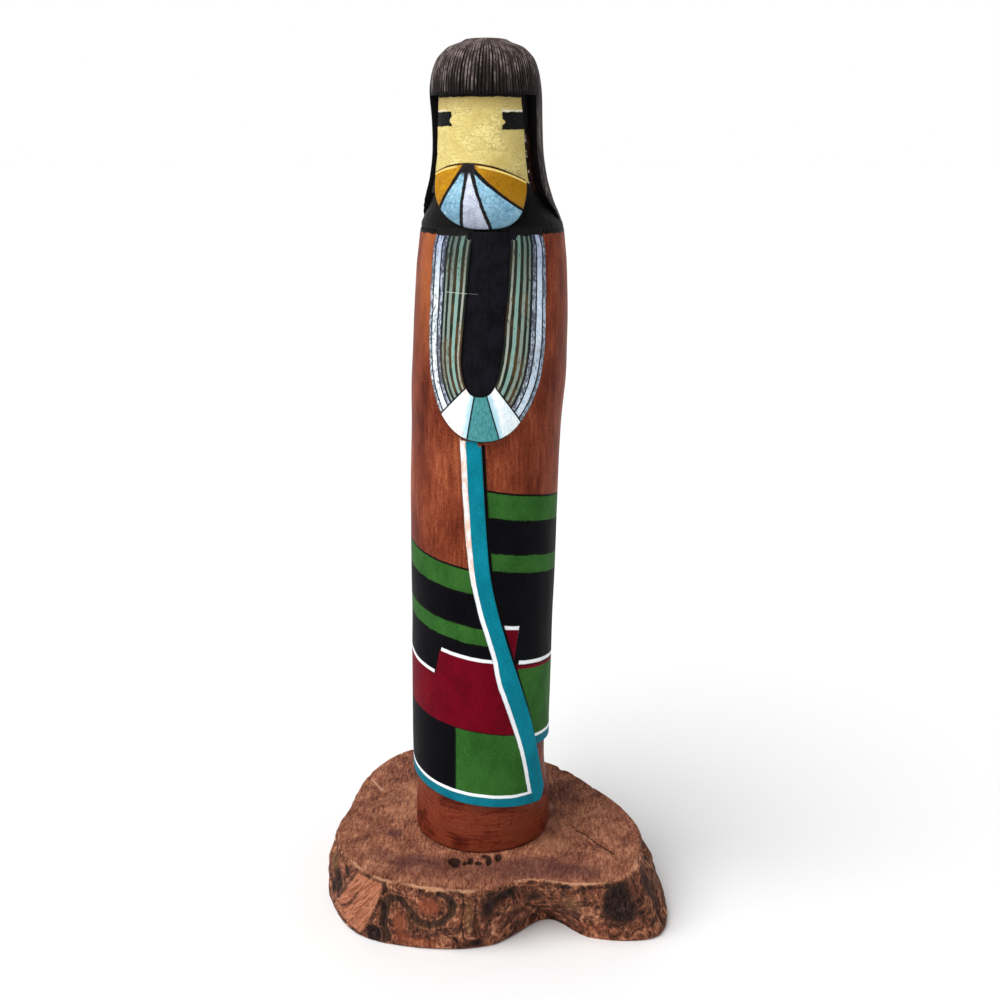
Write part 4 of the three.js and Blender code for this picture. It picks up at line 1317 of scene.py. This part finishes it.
# %% Marks on the slab: place in millimetres, reach along x, y and z, strength
DARK_MARKS = [
    ((41.3, -31.5, 14.5), (4.4, 6, 6.8), 1.4),
    ((45.3, -30.5, 10.5), (2.6, 5, 3.6), 0.7),
    ((49.3, -30.0, 7.9), (1.5, 4, 2.2), 0.5),
    ((3.0, -39.0, 14.5), (3.4, 4, 5.2), 0.7),
    ((8.5, -36.0, 18.0), (4.5, 4, 2.6), 0.8),
    ((16.5, -31.0, 14.0), (3.6, 5, 3.0), 0.65),
    ((11.0, -33.0, 9.0), (4.0, 4, 3.0), 0.55),
    ((25.8, -34.3, 20.3), (1.9, 3, 0.9), 1.3),
    ((-44.2, -22.5, 12.5), (2.4, 4.5, 4.2), 1.0),
    ((-47.0, -18.5, 7.5), (2.0, 3.6, 2.8), 1.0),
    ((-40.3, -27.3, 18.6), (1.5, 2.5, 2.4), 0.8),
    ((-31.5, -35.0, 3.0), (2.6, 3, 3.2), 1.3),
    ((-28.8, -37.2, 12.0), (0.8, 3, 5.0), 0.8),
    ((-27.2, -36.8, 19.0), (0.7, 2.5, 2.4), 0.8),
    ((-0.5, -37.3, 2.0), (2.6, 3, 1.5), 0.9),
    ((51.2, -10.5, 17.5), (1.6, 2.4, 2.4), 1.1),
    ((-47.2, -8.0, 19.5), (1.4, 2.0, 1.4), 1.0),
    ((20, 36, 12), (7, 5, 5), 0.8),
    ((-38, 34, 9), (6, 6, 5), 0.9),
    ((54, 12, 9), (3, 6, 5), 0.8),
]
WARM_MARKS = [
    ((-14.0, -40, 15.8), (3.6, 4, 3.2), 1.1),
    ((-23.0, -38, 8.5), (2.6, 4, 4.6), 0.8),
    ((-18.0, -38, 2.5), (9, 4, 2.4), 0.7),
    ((33.0, -31, 4.0), (9, 5, 3.0), 0.6),
]
OLIVE_MARKS = [
    ((-2.4, -40, 12), (1.6, 4, 9), 0.9),
    ((27.0, -32, 13), (4.0, 5, 6), 0.8),
    ((-45.0, -18, 16), (3.6, 5, 3.4), 0.9),
]
PURPLE_MARKS = [
    ((-28.4, -10.5, 22), (2.2, 2.4, 3), 1.3),
    ((-20.4, -25.4, 22), (6.5, 3.6, 3), 0.9),
    ((-32.3, -22.0, 22), (5.0, 3.0, 3), 0.5),
    ((16.1, -25.1, 22), (7.0, 4.0, 3), 1.0),
    ((30.0, -27.4, 22), (8.0, 3.0, 3), 0.5),
    ((43.0, -10.6, 22), (3.0, 3.0, 3), 0.6),
    ((-30, 14, 22), (8, 9, 3), 0.4),
    # This broad mark makes the front of the top darker
    ((2, -29, 22), (34, 8, 3), 0.75),
]
TAN_MARKS = [
    ((22.0, -14.0, 22), (8, 6, 3), 0.9),
    ((-26.0, 12.0, 22), (6, 12, 3), 0.7),
    ((-36.0, -2.0, 22), (4, 8, 3), 0.5),
]
# Stretches of the rim painted pale: rubbed wood and a painted highlight along the edge
RIM_LIGHTS = [
    ((-36.0, -28.5, 22), (3.5, 4, 3), 1.0),
    ((-28.0, -36.0, 22), (4.0, 3, 3), 0.8),
    ((-15.0, -39.0, 22), (6.0, 3, 3), 1.2),
    ((-3.0, -40.0, 22), (5.0, 3, 3), 0.7),
    ((29.0, -33.3, 22), (9.0, 3, 3), 0.9),
    ((13.0, -33.5, 22), (6.0, 3, 3), 0.5),
    ((46.8, -24.0, 22), (3.0, 5, 3), 0.7),
]
# Pits: place on the top, half width, half length
PITS = [
    ((-8.0, -24.7), 1.8, 1.9),
    ((-7.2, -27.3), 0.9, 0.7),
    ((-3.1, -24.2), 0.8, 1.7),
    ((-0.6, -25.2), 1.0, 0.9),
    ((2.4, -24.0), 0.8, 1.9),
    ((5.0, -21.8), 1.0, 1.6),
    ((1.1, -21.6), 1.2, 0.8),
    ((-4.6, -25.6), 0.6, 0.9),
]
PIT_DEPTH, CRACK_DEPTH = 1.3, 0.35
# Paths on the front of the edge, as (x, z)
CURL = [
    (-27.5, 2.0), (-28.2, 7.2), (-28.0, 11.8), (-27.0, 15.6), (-25.2, 17.4), (-23.0, 16.6), (-19.4, 12.3),
    (-16.8, 10.2), (-13.9, 9.4), (-10.5, 10.6), (-7.8, 13.6), (-7.0, 16.8), (-8.1, 19.6), (-10.3, 21.2),
]
SEAMS = [
    [(-4.1, 21.2), (-3.8, 16.4), (-4.6, 10.3), (-4.3, 5.1), (-3.4, 1.0)],
    [(-0.2, 19.2), (-0.6, 12.5), (0.8, 4.5)],
    [(13.8, 12.3), (17.5, 7.4), (21.7, 0.3)],
    [(47.7, 20.5), (51.0, 13.6), (55.2, 3.3)],
    [(49.4, 17.5), (51.9, 13.1), (53.9, 8.1)],
    [(-43.6, 5.0), (-38.8, 10.4), (-36.2, 15.0)],
]
# The split facet at the left, as a convex outline in (x, z), clockwise
FACET = [(-36.2, 21.4), (-27.4, 21.3), (-29.3, 14.5), (-35.3, 1.3), (-45.5, 3.1), (-45.7, 5.0)]
# Paths on the top, as (x, y)
CRACK = [(26.4, -2.2), (27.6, -3.6), (28.3, -5.6), (30.7, -7.0), (34.7, -12.6), (37.4, -15.3), (39.7, -18.0)]
TOP_SCRATCH = [(-40.6, 21.8), (-35.8, 14.8)]


def spots(points, marks):
    total = np.zeros(points.shape[:-1])
    for place, reach, strength in marks:
        off = (points - place) / reach
        total += strength * np.exp(-(off**2).sum(axis=-1))
    return total


def distance_to_path(places, path):
    """The distance from flat places to the nearest stretch of a path."""
    nearest = np.full(places.shape[:-1], 1e9)
    for start, end in zip(path, path[1:]):
        run = np.subtract(end, start)
        along = np.clip(((places - start) @ run) / (run @ run), 0, 1)[..., None]
        nearest = np.minimum(nearest, np.linalg.norm(places - start - along * run, axis=-1))
    return nearest


def inside_outline(places, outline):
    """How far flat places lie inside a convex outline that runs clockwise, in millimetres."""
    deepest = np.full(places.shape[:-1], 1e9)
    for start, end in zip(outline, outline[1:] + outline[:1]):
        run = np.subtract(end, start)
        off = places - start
        deepest = np.minimum(deepest, (run[1] * off[..., 0] - run[0] * off[..., 1]) / np.linalg.norm(run))
    return deepest


print(len(DARK_MARKS) + len(WARM_MARKS) + len(OLIVE_MARKS), "marks on the grown edge,", len(PITS), "pits")


# %% [markdown]
# The slab's edge is bark and split wood, and its top is sawn nearly flat. The edge could be roughened
# by a material's displacement, but that is lost when a model is exported, so the points themselves
# are moved. One grid runs down the edge and round it, and the top is more rings of the same grid,
# drawn in towards the middle. The marks above say where the edge is cut deepest.

# %% The slab as one body
SLAB_DIRECTIONS = 840
# Paths drawn on the front edge don't count further back than this, where they are out of reach
FRONT, OUT_OF_REACH = -12, 40
# The doll's foot, and the ring round it where the sawn marks fade in
FOOT_MIDDLE, FOOT_RING = (-1.4, 0), (21.5, 24)
# Share of the way down the edge, share of the way from the top outline to the foot's
EDGE_FLARE = np.array([(0, 0), (0.055, 0.04), (0.32, 0.3), (0.62, 0.66), (0.9, 0.98), (1, 1)])
# Share of the way down the edge, swelling in millimetres
EDGE_SWELL = np.array([
    (0, -1.2), (0.02, -0.5), (0.055, 0), (0.32, 0.8), (0.62, 0.8), (0.9, 0), (0.97, -0.4), (1, -1.2),
])


def slab(material):
    down = spaced((1, 0.93, 4), (0.93, 0.08, 32), (0.08, 0, 5))
    move = np.interp(down, *EDGE_FLARE.T)
    swell = np.interp(down, *EDGE_SWELL.T)
    top, foot = closed_curve(TOP_OUTLINE, SLAB_DIRECTIONS), closed_curve(FOOT_OUTLINE, SLAB_DIRECTIONS)
    edge = top[None] + (foot - top)[None] * move[:, None, None]
    outwards = edge / np.linalg.norm(edge, axis=-1, keepdims=True)
    edge = edge + outwards * swell[:, None, None]
    height = np.broadcast_to((SLAB_TOP * (1 - down))[:, None], edge.shape[:2])
    side = np.concatenate([edge, height[..., None]], axis=-1)

    # The grown edge: ridges that run up it, hollows and a few sharp facets, all cut inwards
    ridges = unevenness(side * (1, 1, 0.22), 5, 51, 14)
    lumps = unevenness(side, 11, 52, 12)
    crumbs = unevenness(side, 1.9, 53, 16)
    dark = spots(side, DARK_MARKS)
    behind = OUT_OF_REACH * (side[..., 1] > FRONT)
    upright = side[..., ::2]
    facet = inside_outline(upright, FACET) - behind
    curl = distance_to_path(upright, CURL) + behind
    seam = np.min([distance_to_path(upright, path) for path in SEAMS], axis=0) + behind
    rough = 1 - 0.8 * smooth(facet, -0.3, 0.8)
    depth = 0.3 * (1.1 + ridges) * rough + 0.35 * (1.1 + lumps) * rough
    depth += (0.08 + 0.3 * np.clip(dark, 0, 1)) * (1 + crumbs) * rough
    depth += 0.55 * np.exp(-((curl / 0.9) ** 2)) + 0.35 * np.exp(-((seam / 0.4) ** 2))
    depth += 0.6 * np.clip(dark, 0, 1.2) + 0.35 * smooth(facet, 0, 1.2)
    free = np.clip(np.sin(np.pi * np.clip(down, 0.0, 1)) * 2.2, 0.12, 1)[:, None]
    depth = np.clip(depth, 0, 3) * free
    chips = np.clip(unevenness(side, 6.5, 54, 14) - 0.6, 0, 1) * np.clip(1 - down / 0.12, 0, 1)[:, None]
    side[..., :2] -= outwards * (depth + 0.9 * chips)[..., None]
    side[..., 2] -= 0.4 * chips

    # The sawn top, from the rim in to the middle
    inward = spaced((0.985, 0.9, 12), (0.9, 0.02, 44))
    rim = side[-1]
    flat = rim[None] * np.stack([inward, inward, np.ones_like(inward)], axis=-1)[:, None, :]
    flat[..., 2] = SLAB_TOP
    from_middle = np.linalg.norm(flat[..., :2] - FOOT_MIDDLE, axis=-1)
    clear_of_foot = smooth(from_middle, *FOOT_RING)
    sawn = 0.05 * unevenness(flat * (1, 0.25, 1), 2.4, 55) + 0.1 * unevenness(flat, 16, 56)
    pits = 0
    for (x, y), wide, long in PITS:
        pits = pits + np.exp(-(((flat[..., 0] - x) / wide) ** 2 + ((flat[..., 1] - y) / long) ** 2))
    crack = np.exp(-((distance_to_path(flat[..., :2], CRACK) / 0.42) ** 2))
    scored = np.exp(-((distance_to_path(flat[..., :2], TOP_SCRATCH) / 0.4) ** 2))
    sunk = PIT_DEPTH * np.clip(pits, 0, 1)
    flat[..., 2] -= np.clip(0.15 + sawn, 0, 1) * clear_of_foot + sunk + CRACK_DEPTH * crack
    rim_drop = side[-1, :, 2] - SLAB_TOP
    flat[..., 2] += rim_drop * smooth(inward, 0.93, 0.995)[:, None]

    everywhere = np.concatenate([side, flat])
    in_from_rim = (1 - inward)[:, None] * np.linalg.norm(rim[:, :2], axis=-1)
    to_rim = np.concatenate([-height + SLAB_TOP, -in_from_rim])
    on_top = np.zeros(flat.shape[:2])
    readings = {
        "below_rim": to_rim,
        "dark": np.concatenate([dark, np.clip(pits * 1.6, 0, 1.6) + 0.8 * crack]),
        "warm": np.concatenate([spots(side, WARM_MARKS), on_top]),
        "olive": np.concatenate([spots(side, OLIVE_MARKS), spots(flat, TAN_MARKS)]),
        "purple": spots(everywhere, PURPLE_MARKS),
        "rim_light": spots(everywhere, RIM_LIGHTS),
        "curl": np.concatenate([np.clip(curl, 0, 9), on_top + 9]),
        "seam": np.concatenate([np.clip(seam, 0, 9), on_top + 9]),
        "facet": np.concatenate([np.clip(facet, -9, 9), on_top - 9]),
        "scored": np.concatenate([np.zeros(side.shape[:2]), scored]),
    }
    return round_body("slab_of_root", everywhere, readings, material)


# %% [markdown]
# Sawn wood and grown bark look nothing alike, so the finish makes two woods and changes from one to
# the other at the rim. The top has short fibres with dark red stains. The edge has streaks, leaning
# at the left and upright elsewhere, and old bark in its dark marks. A picture laid over the slab
# would smear down its edge, while noise in three directions runs through the wood as grain does.

# %% The slab's finish
def slab_finish():
    root = Finish("root_wood")
    below = root.read("below_rim")
    dark, warm, olive, purple = (root.read(mark) for mark in ("dark", "warm", "olive", "purple"))
    curl, seam, facet = (root.read(path) for path in ("curl", "seam", "facet"))
    on_side = root.above(root.add(below, root.wobble(2.4, 0.35, seed=101)), 0.25, 0.25)

    # The sawn top: short fibres that swirl, rubbed with a red-brown stain
    swirl = root.noise(0.8, (1, 4, 1), detail=6, rough=0.72, seed=102, warp=0.6)
    fine = root.noise(0.34, (1, 3.4, 1), detail=4, rough=0.75, seed=103)
    cloud = root.noise(11, detail=5, rough=0.62, seed=104, warp=0.8)
    tone = root.add(root.times(swirl, 0.4), root.times(fine, 0.3), root.times(cloud, 0.3))
    top = root.ramp(
        tone,
        (0.4, paint(70, 35, 27)),
        (0.46, paint(112, 65, 49)),
        (0.52, paint(146, 92, 69)),
        (0.61, paint(196, 138, 104)),
    )
    tanned = root.above(root.add(olive, root.times(swirl, 0.4)), 0.8, 0.35)
    top = root.mix(root.times(tanned, 0.35), top, paint(172, 122, 88))
    stained = root.above(root.add(purple, root.times(swirl, 0.6)), 0.85, 0.35)
    top = root.mix(root.times(stained, 0.55), top, paint(70, 38, 42))
    top = root.mix(root.times(root.read("scored"), 0.6), top, paint(208, 164, 132))
    nick = root.noise(0.55, (1, 3.6, 1), detail=3, rough=0.6, seed=109, warp=0.6)
    short_cuts = root.above(nick, 0.645, 0.03)
    top = root.mix(root.times(short_cuts, 0.5), top, paint(56, 28, 24))

    # The grown edge: streaks that lean on the left and stand upright elsewhere
    upright = root.noise(0.85, (1, 1, 4.5), detail=7, rough=0.74, seed=105, warp=0.9)
    leaning = root.noise(0.75, (1, 5, 7), detail=7, rough=0.74, seed=110, warp=0.5, lean=32)
    left_part = root.opposite(root.above(root.add(root.place_x(), root.wobble(6, 2, seed=111)), -30, 2))
    streak = root.blend(left_part, upright, leaning)
    knots = root.noise(4.2, (1, 1, 1.2), detail=7, rough=0.68, seed=106, warp=1.6)
    grown_tone = root.add(root.times(streak, 0.44), root.times(knots, 0.56))
    side = root.ramp(
        grown_tone,
        (0.4, paint(24, 16, 12)),
        (0.453, paint(64, 38, 28)),
        (0.5, paint(108, 63, 46)),
        (0.55, paint(146, 91, 66)),
        (0.62, paint(204, 148, 112)),
    )
    warmed = root.above(root.add(warm, root.times(streak, 0.6)), 0.8, 0.3)
    side = root.mix(root.times(warmed, 0.6), side, paint(152, 78, 50))
    browned = root.above(root.add(olive, root.times(streak, 0.6)), 0.85, 0.3)
    side = root.mix(root.times(browned, 0.55), side, paint(118, 86, 56))
    veins = root.line(knots, 0.5, 0.012, 0.01)
    side = root.mix(root.times(veins, 0.55), side, paint(40, 27, 22))

    # The split facet is cleaner wood with fine leaning scratches
    on_facet = root.above(root.add(facet, root.wobble(2.2, 0.5, seed=112)), 0.2, 0.25)
    score = root.noise(0.55, (1, 9, 16), detail=4, rough=0.65, seed=113, lean=38)
    clean = root.mix(root.above(score, 0.5, 0.08), paint(132, 74, 50), paint(196, 128, 96))
    clean = root.mix(root.times(root.above(score, 0.59, 0.02), 0.7), clean, paint(84, 44, 31))
    side = root.mix(root.times(on_facet, 0.92), side, clean)
    facet_rim = root.line(root.add(facet, root.wobble(1.6, 0.4, seed=114)), -0.1, 0.9, 0.3)
    side = root.mix(root.times(facet_rim, root.above(streak, 0.46, 0.06), 0.6), side, paint(46, 31, 25))

    # The curl is a dark band between two thin pale ones
    bent = root.add(curl, root.wobble(2.2, 0.45, seed=107), root.wobble(0.7, 0.2, seed=115))
    pale_band = root.times(root.line(bent, 1.6, 0.6, 0.35), root.above(streak, 0.47, 0.08))
    side = root.mix(root.times(pale_band, 0.5), side, paint(160, 104, 76))
    curl_line = root.opposite(root.above(root.add(bent, root.times(knots, 0.8)), 1.62, 0.3))
    curl_colour = root.mix(root.above(streak, 0.5, 0.1), paint(34, 23, 19), paint(74, 51, 39))
    side = root.mix(root.times(curl_line, 0.92), side, curl_colour)
    seam_line = root.opposite(root.above(root.add(seam, root.wobble(1.6, 0.3, seed=116)), 0.3, 0.2))
    side = root.mix(root.times(seam_line, 0.8), side, paint(44, 28, 22))

    # Old bark in the dark marks, broken up by the streaks
    broken = root.add(dark, root.times(streak, 2.0), root.times(knots, 1.0))
    bark = root.above(broken, 2.03, 0.13)
    bark_colour = root.mix(root.above(streak, 0.56, 0.08), paint(20, 14, 15), paint(66, 50, 45))
    side = root.mix(root.times(bark, 0.93), side, bark_colour)

    colour = root.mix(on_side, top, side)
    in_pit = root.times(root.opposite(on_side), root.above(root.add(dark, root.times(fine, 0.5)), 0.8, 0.16))
    colour = root.mix(root.times(in_pit, 0.92), colour, paint(30, 17, 14))
    # A pale line along the rim: rubbed wood and a painted highlight
    on_rim = root.line(root.add(below, root.wobble(2.5, 0.6, seed=108)), 0.0, 0.75, 0.35)
    lit = root.above(root.add(root.read("rim_light"), root.times(fine, 2.0)), 1.5, 0.3)
    colour = root.mix(root.times(on_rim, lit, 0.75), colour, paint(200, 150, 116))
    relief = root.add(
        root.times(swirl, 0.2),
        root.times(fine, 0.12),
        root.times(short_cuts, -0.1),
        root.times(on_side, streak, 0.5),
        root.times(on_side, veins, -0.15),
        root.times(bark, -0.3),
        root.times(curl_line, on_side, -0.3),
    )
    return root.done(colour, root.blend(fine, 0.6, 0.85), relief, 0.7, 0.1)


slab_piece = smooth_but_for_edges(slab(slab_finish()), 50)
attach(slab_piece, "root")
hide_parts("base_slab")
slab_piece.data.calc_loop_triangles()
print("the slab has", len(slab_piece.data.loop_triangles), "triangles")


# %% [markdown]
# ## The studio
#
# The floor is plain and pale. One wide soft lamp stands high at the front left, as in the photograph,
# where the left of the trunk is a little brighter. A sun lamp with a wide angle gives the same light
# everywhere on the floor, which a nearby lamp wouldn't.

# %% Floor
FLOOR_HALF = 20
corners = [(x * FLOOR_HALF, y * FLOOR_HALF, 0) for x, y in ((-1, -1), (1, -1), (1, 1), (-1, 1))]
floor_mesh = bpy.data.meshes.new("floor")
floor_mesh.from_pydata(corners, [], [(0, 1, 2, 3)])
floor = bpy.data.objects.new("floor", floor_mesh)
floor_paper = bpy.data.materials.new("studio_paper")
floor_paper.use_nodes = True
floor_paper.node_tree.nodes["Principled BSDF"].inputs["Base Color"].default_value = (0.9, 0.9, 0.9, 1)
floor_paper.node_tree.nodes["Principled BSDF"].inputs["Roughness"].default_value = 0.95
floor_mesh.materials.append(floor_paper)
bpy.context.scene.collection.objects.link(floor)


# %% A wide soft lamp, high at the front left
KEY_SIDE, KEY_HEIGHT = 48, 52
key = bpy.data.lights.new("key_left", "SUN")
key.energy = 2.95
key.angle = math.radians(50)
key_stand = bpy.data.objects.new("key_left", key)
side_turn, rise = math.radians(KEY_SIDE), math.radians(KEY_HEIGHT)
level_reach = math.cos(rise)
falling = Vector((math.sin(side_turn) * level_reach, math.cos(side_turn) * level_reach, -math.sin(rise)))
key_stand.rotation_mode = "QUATERNION"
key_stand.rotation_quaternion = falling.to_track_quat("-Z", "Y")
bpy.context.scene.collection.objects.link(key_stand)

# %% [markdown]
# The sky is white at the horizon, so that it meets the floor without a line, and dimmer overhead, so
# that the doll is lit from all sides more than from above. Its brightness follows the height of the
# direction it is seen in.

# %% A sky that is bright low down and dimmer overhead
sky = bpy.data.worlds.new("pale_sky")
sky.use_nodes = True
nodes, links = sky.node_tree.nodes, sky.node_tree.links
direction = nodes.new("ShaderNodeTexCoord")
parts = nodes.new("ShaderNodeSeparateXYZ")
fade = nodes.new("ShaderNodeMapRange")
fade.interpolation_type = "SMOOTHSTEP"
fade.inputs["From Min"].default_value = 0.12
fade.inputs["From Max"].default_value = 0.7
fade.inputs["To Min"].default_value = 1.0
fade.inputs["To Max"].default_value = 0.32
links.new(direction.outputs["Generated"], parts.inputs[0])
links.new(parts.outputs["Z"], fade.inputs["Value"])
links.new(fade.outputs["Result"], nodes["Background"].inputs["Strength"])
nodes["Background"].inputs["Color"].default_value = (1, 1, 1, 1)
bpy.context.scene.world = sky
bpy.context.scene.view_settings.view_transform = "Standard"
print("key lamp falls along", [round(c, 2) for c in falling])

# %% [markdown]
# ## The camera
#
# The photograph was taken from close by and a little to the right, tipped down by sixteen degrees.
# Its focal length follows from the doll's foot, seen steeply, and its hair, seen nearly level. The
# picture's width is 1000 pixels, so a focal length in pixels becomes one in millimetres of sensor.

# %% Camera
FOCAL_PIXELS = 1208
PICTURE_WIDTH = 1000
SENSOR_WIDTH = 36
DISTANCE = 341
ABOVE_SLAB = 202.6
SIDE_ANGLE, PAN, TILT = 4.5, 0.68, 16.0

round_turn = math.radians(SIDE_ANGLE)
eye = Vector((DISTANCE * math.sin(round_turn), -DISTANCE * math.cos(round_turn), SLAB_TOP + ABOVE_SLAB)) * MM
lens = bpy.data.cameras.new("camera")
lens.sensor_width = SENSOR_WIDTH
lens.lens = FOCAL_PIXELS / PICTURE_WIDTH * SENSOR_WIDTH
lens.clip_start = 0.01
camera = bpy.data.objects.new("camera", lens)
upright = Matrix.Rotation(math.radians(90 - TILT), 4, "X")
turned = Matrix.Rotation(math.radians(SIDE_ANGLE - PAN), 4, "Z")
camera.matrix_world = Matrix.Translation(eye) @ turned @ upright
bpy.context.scene.collection.objects.link(camera)
bpy.context.scene.camera = camera
print("camera at", [round(c, 4) for c in eye], "metres, lens", round(lens.lens, 2), "mm")
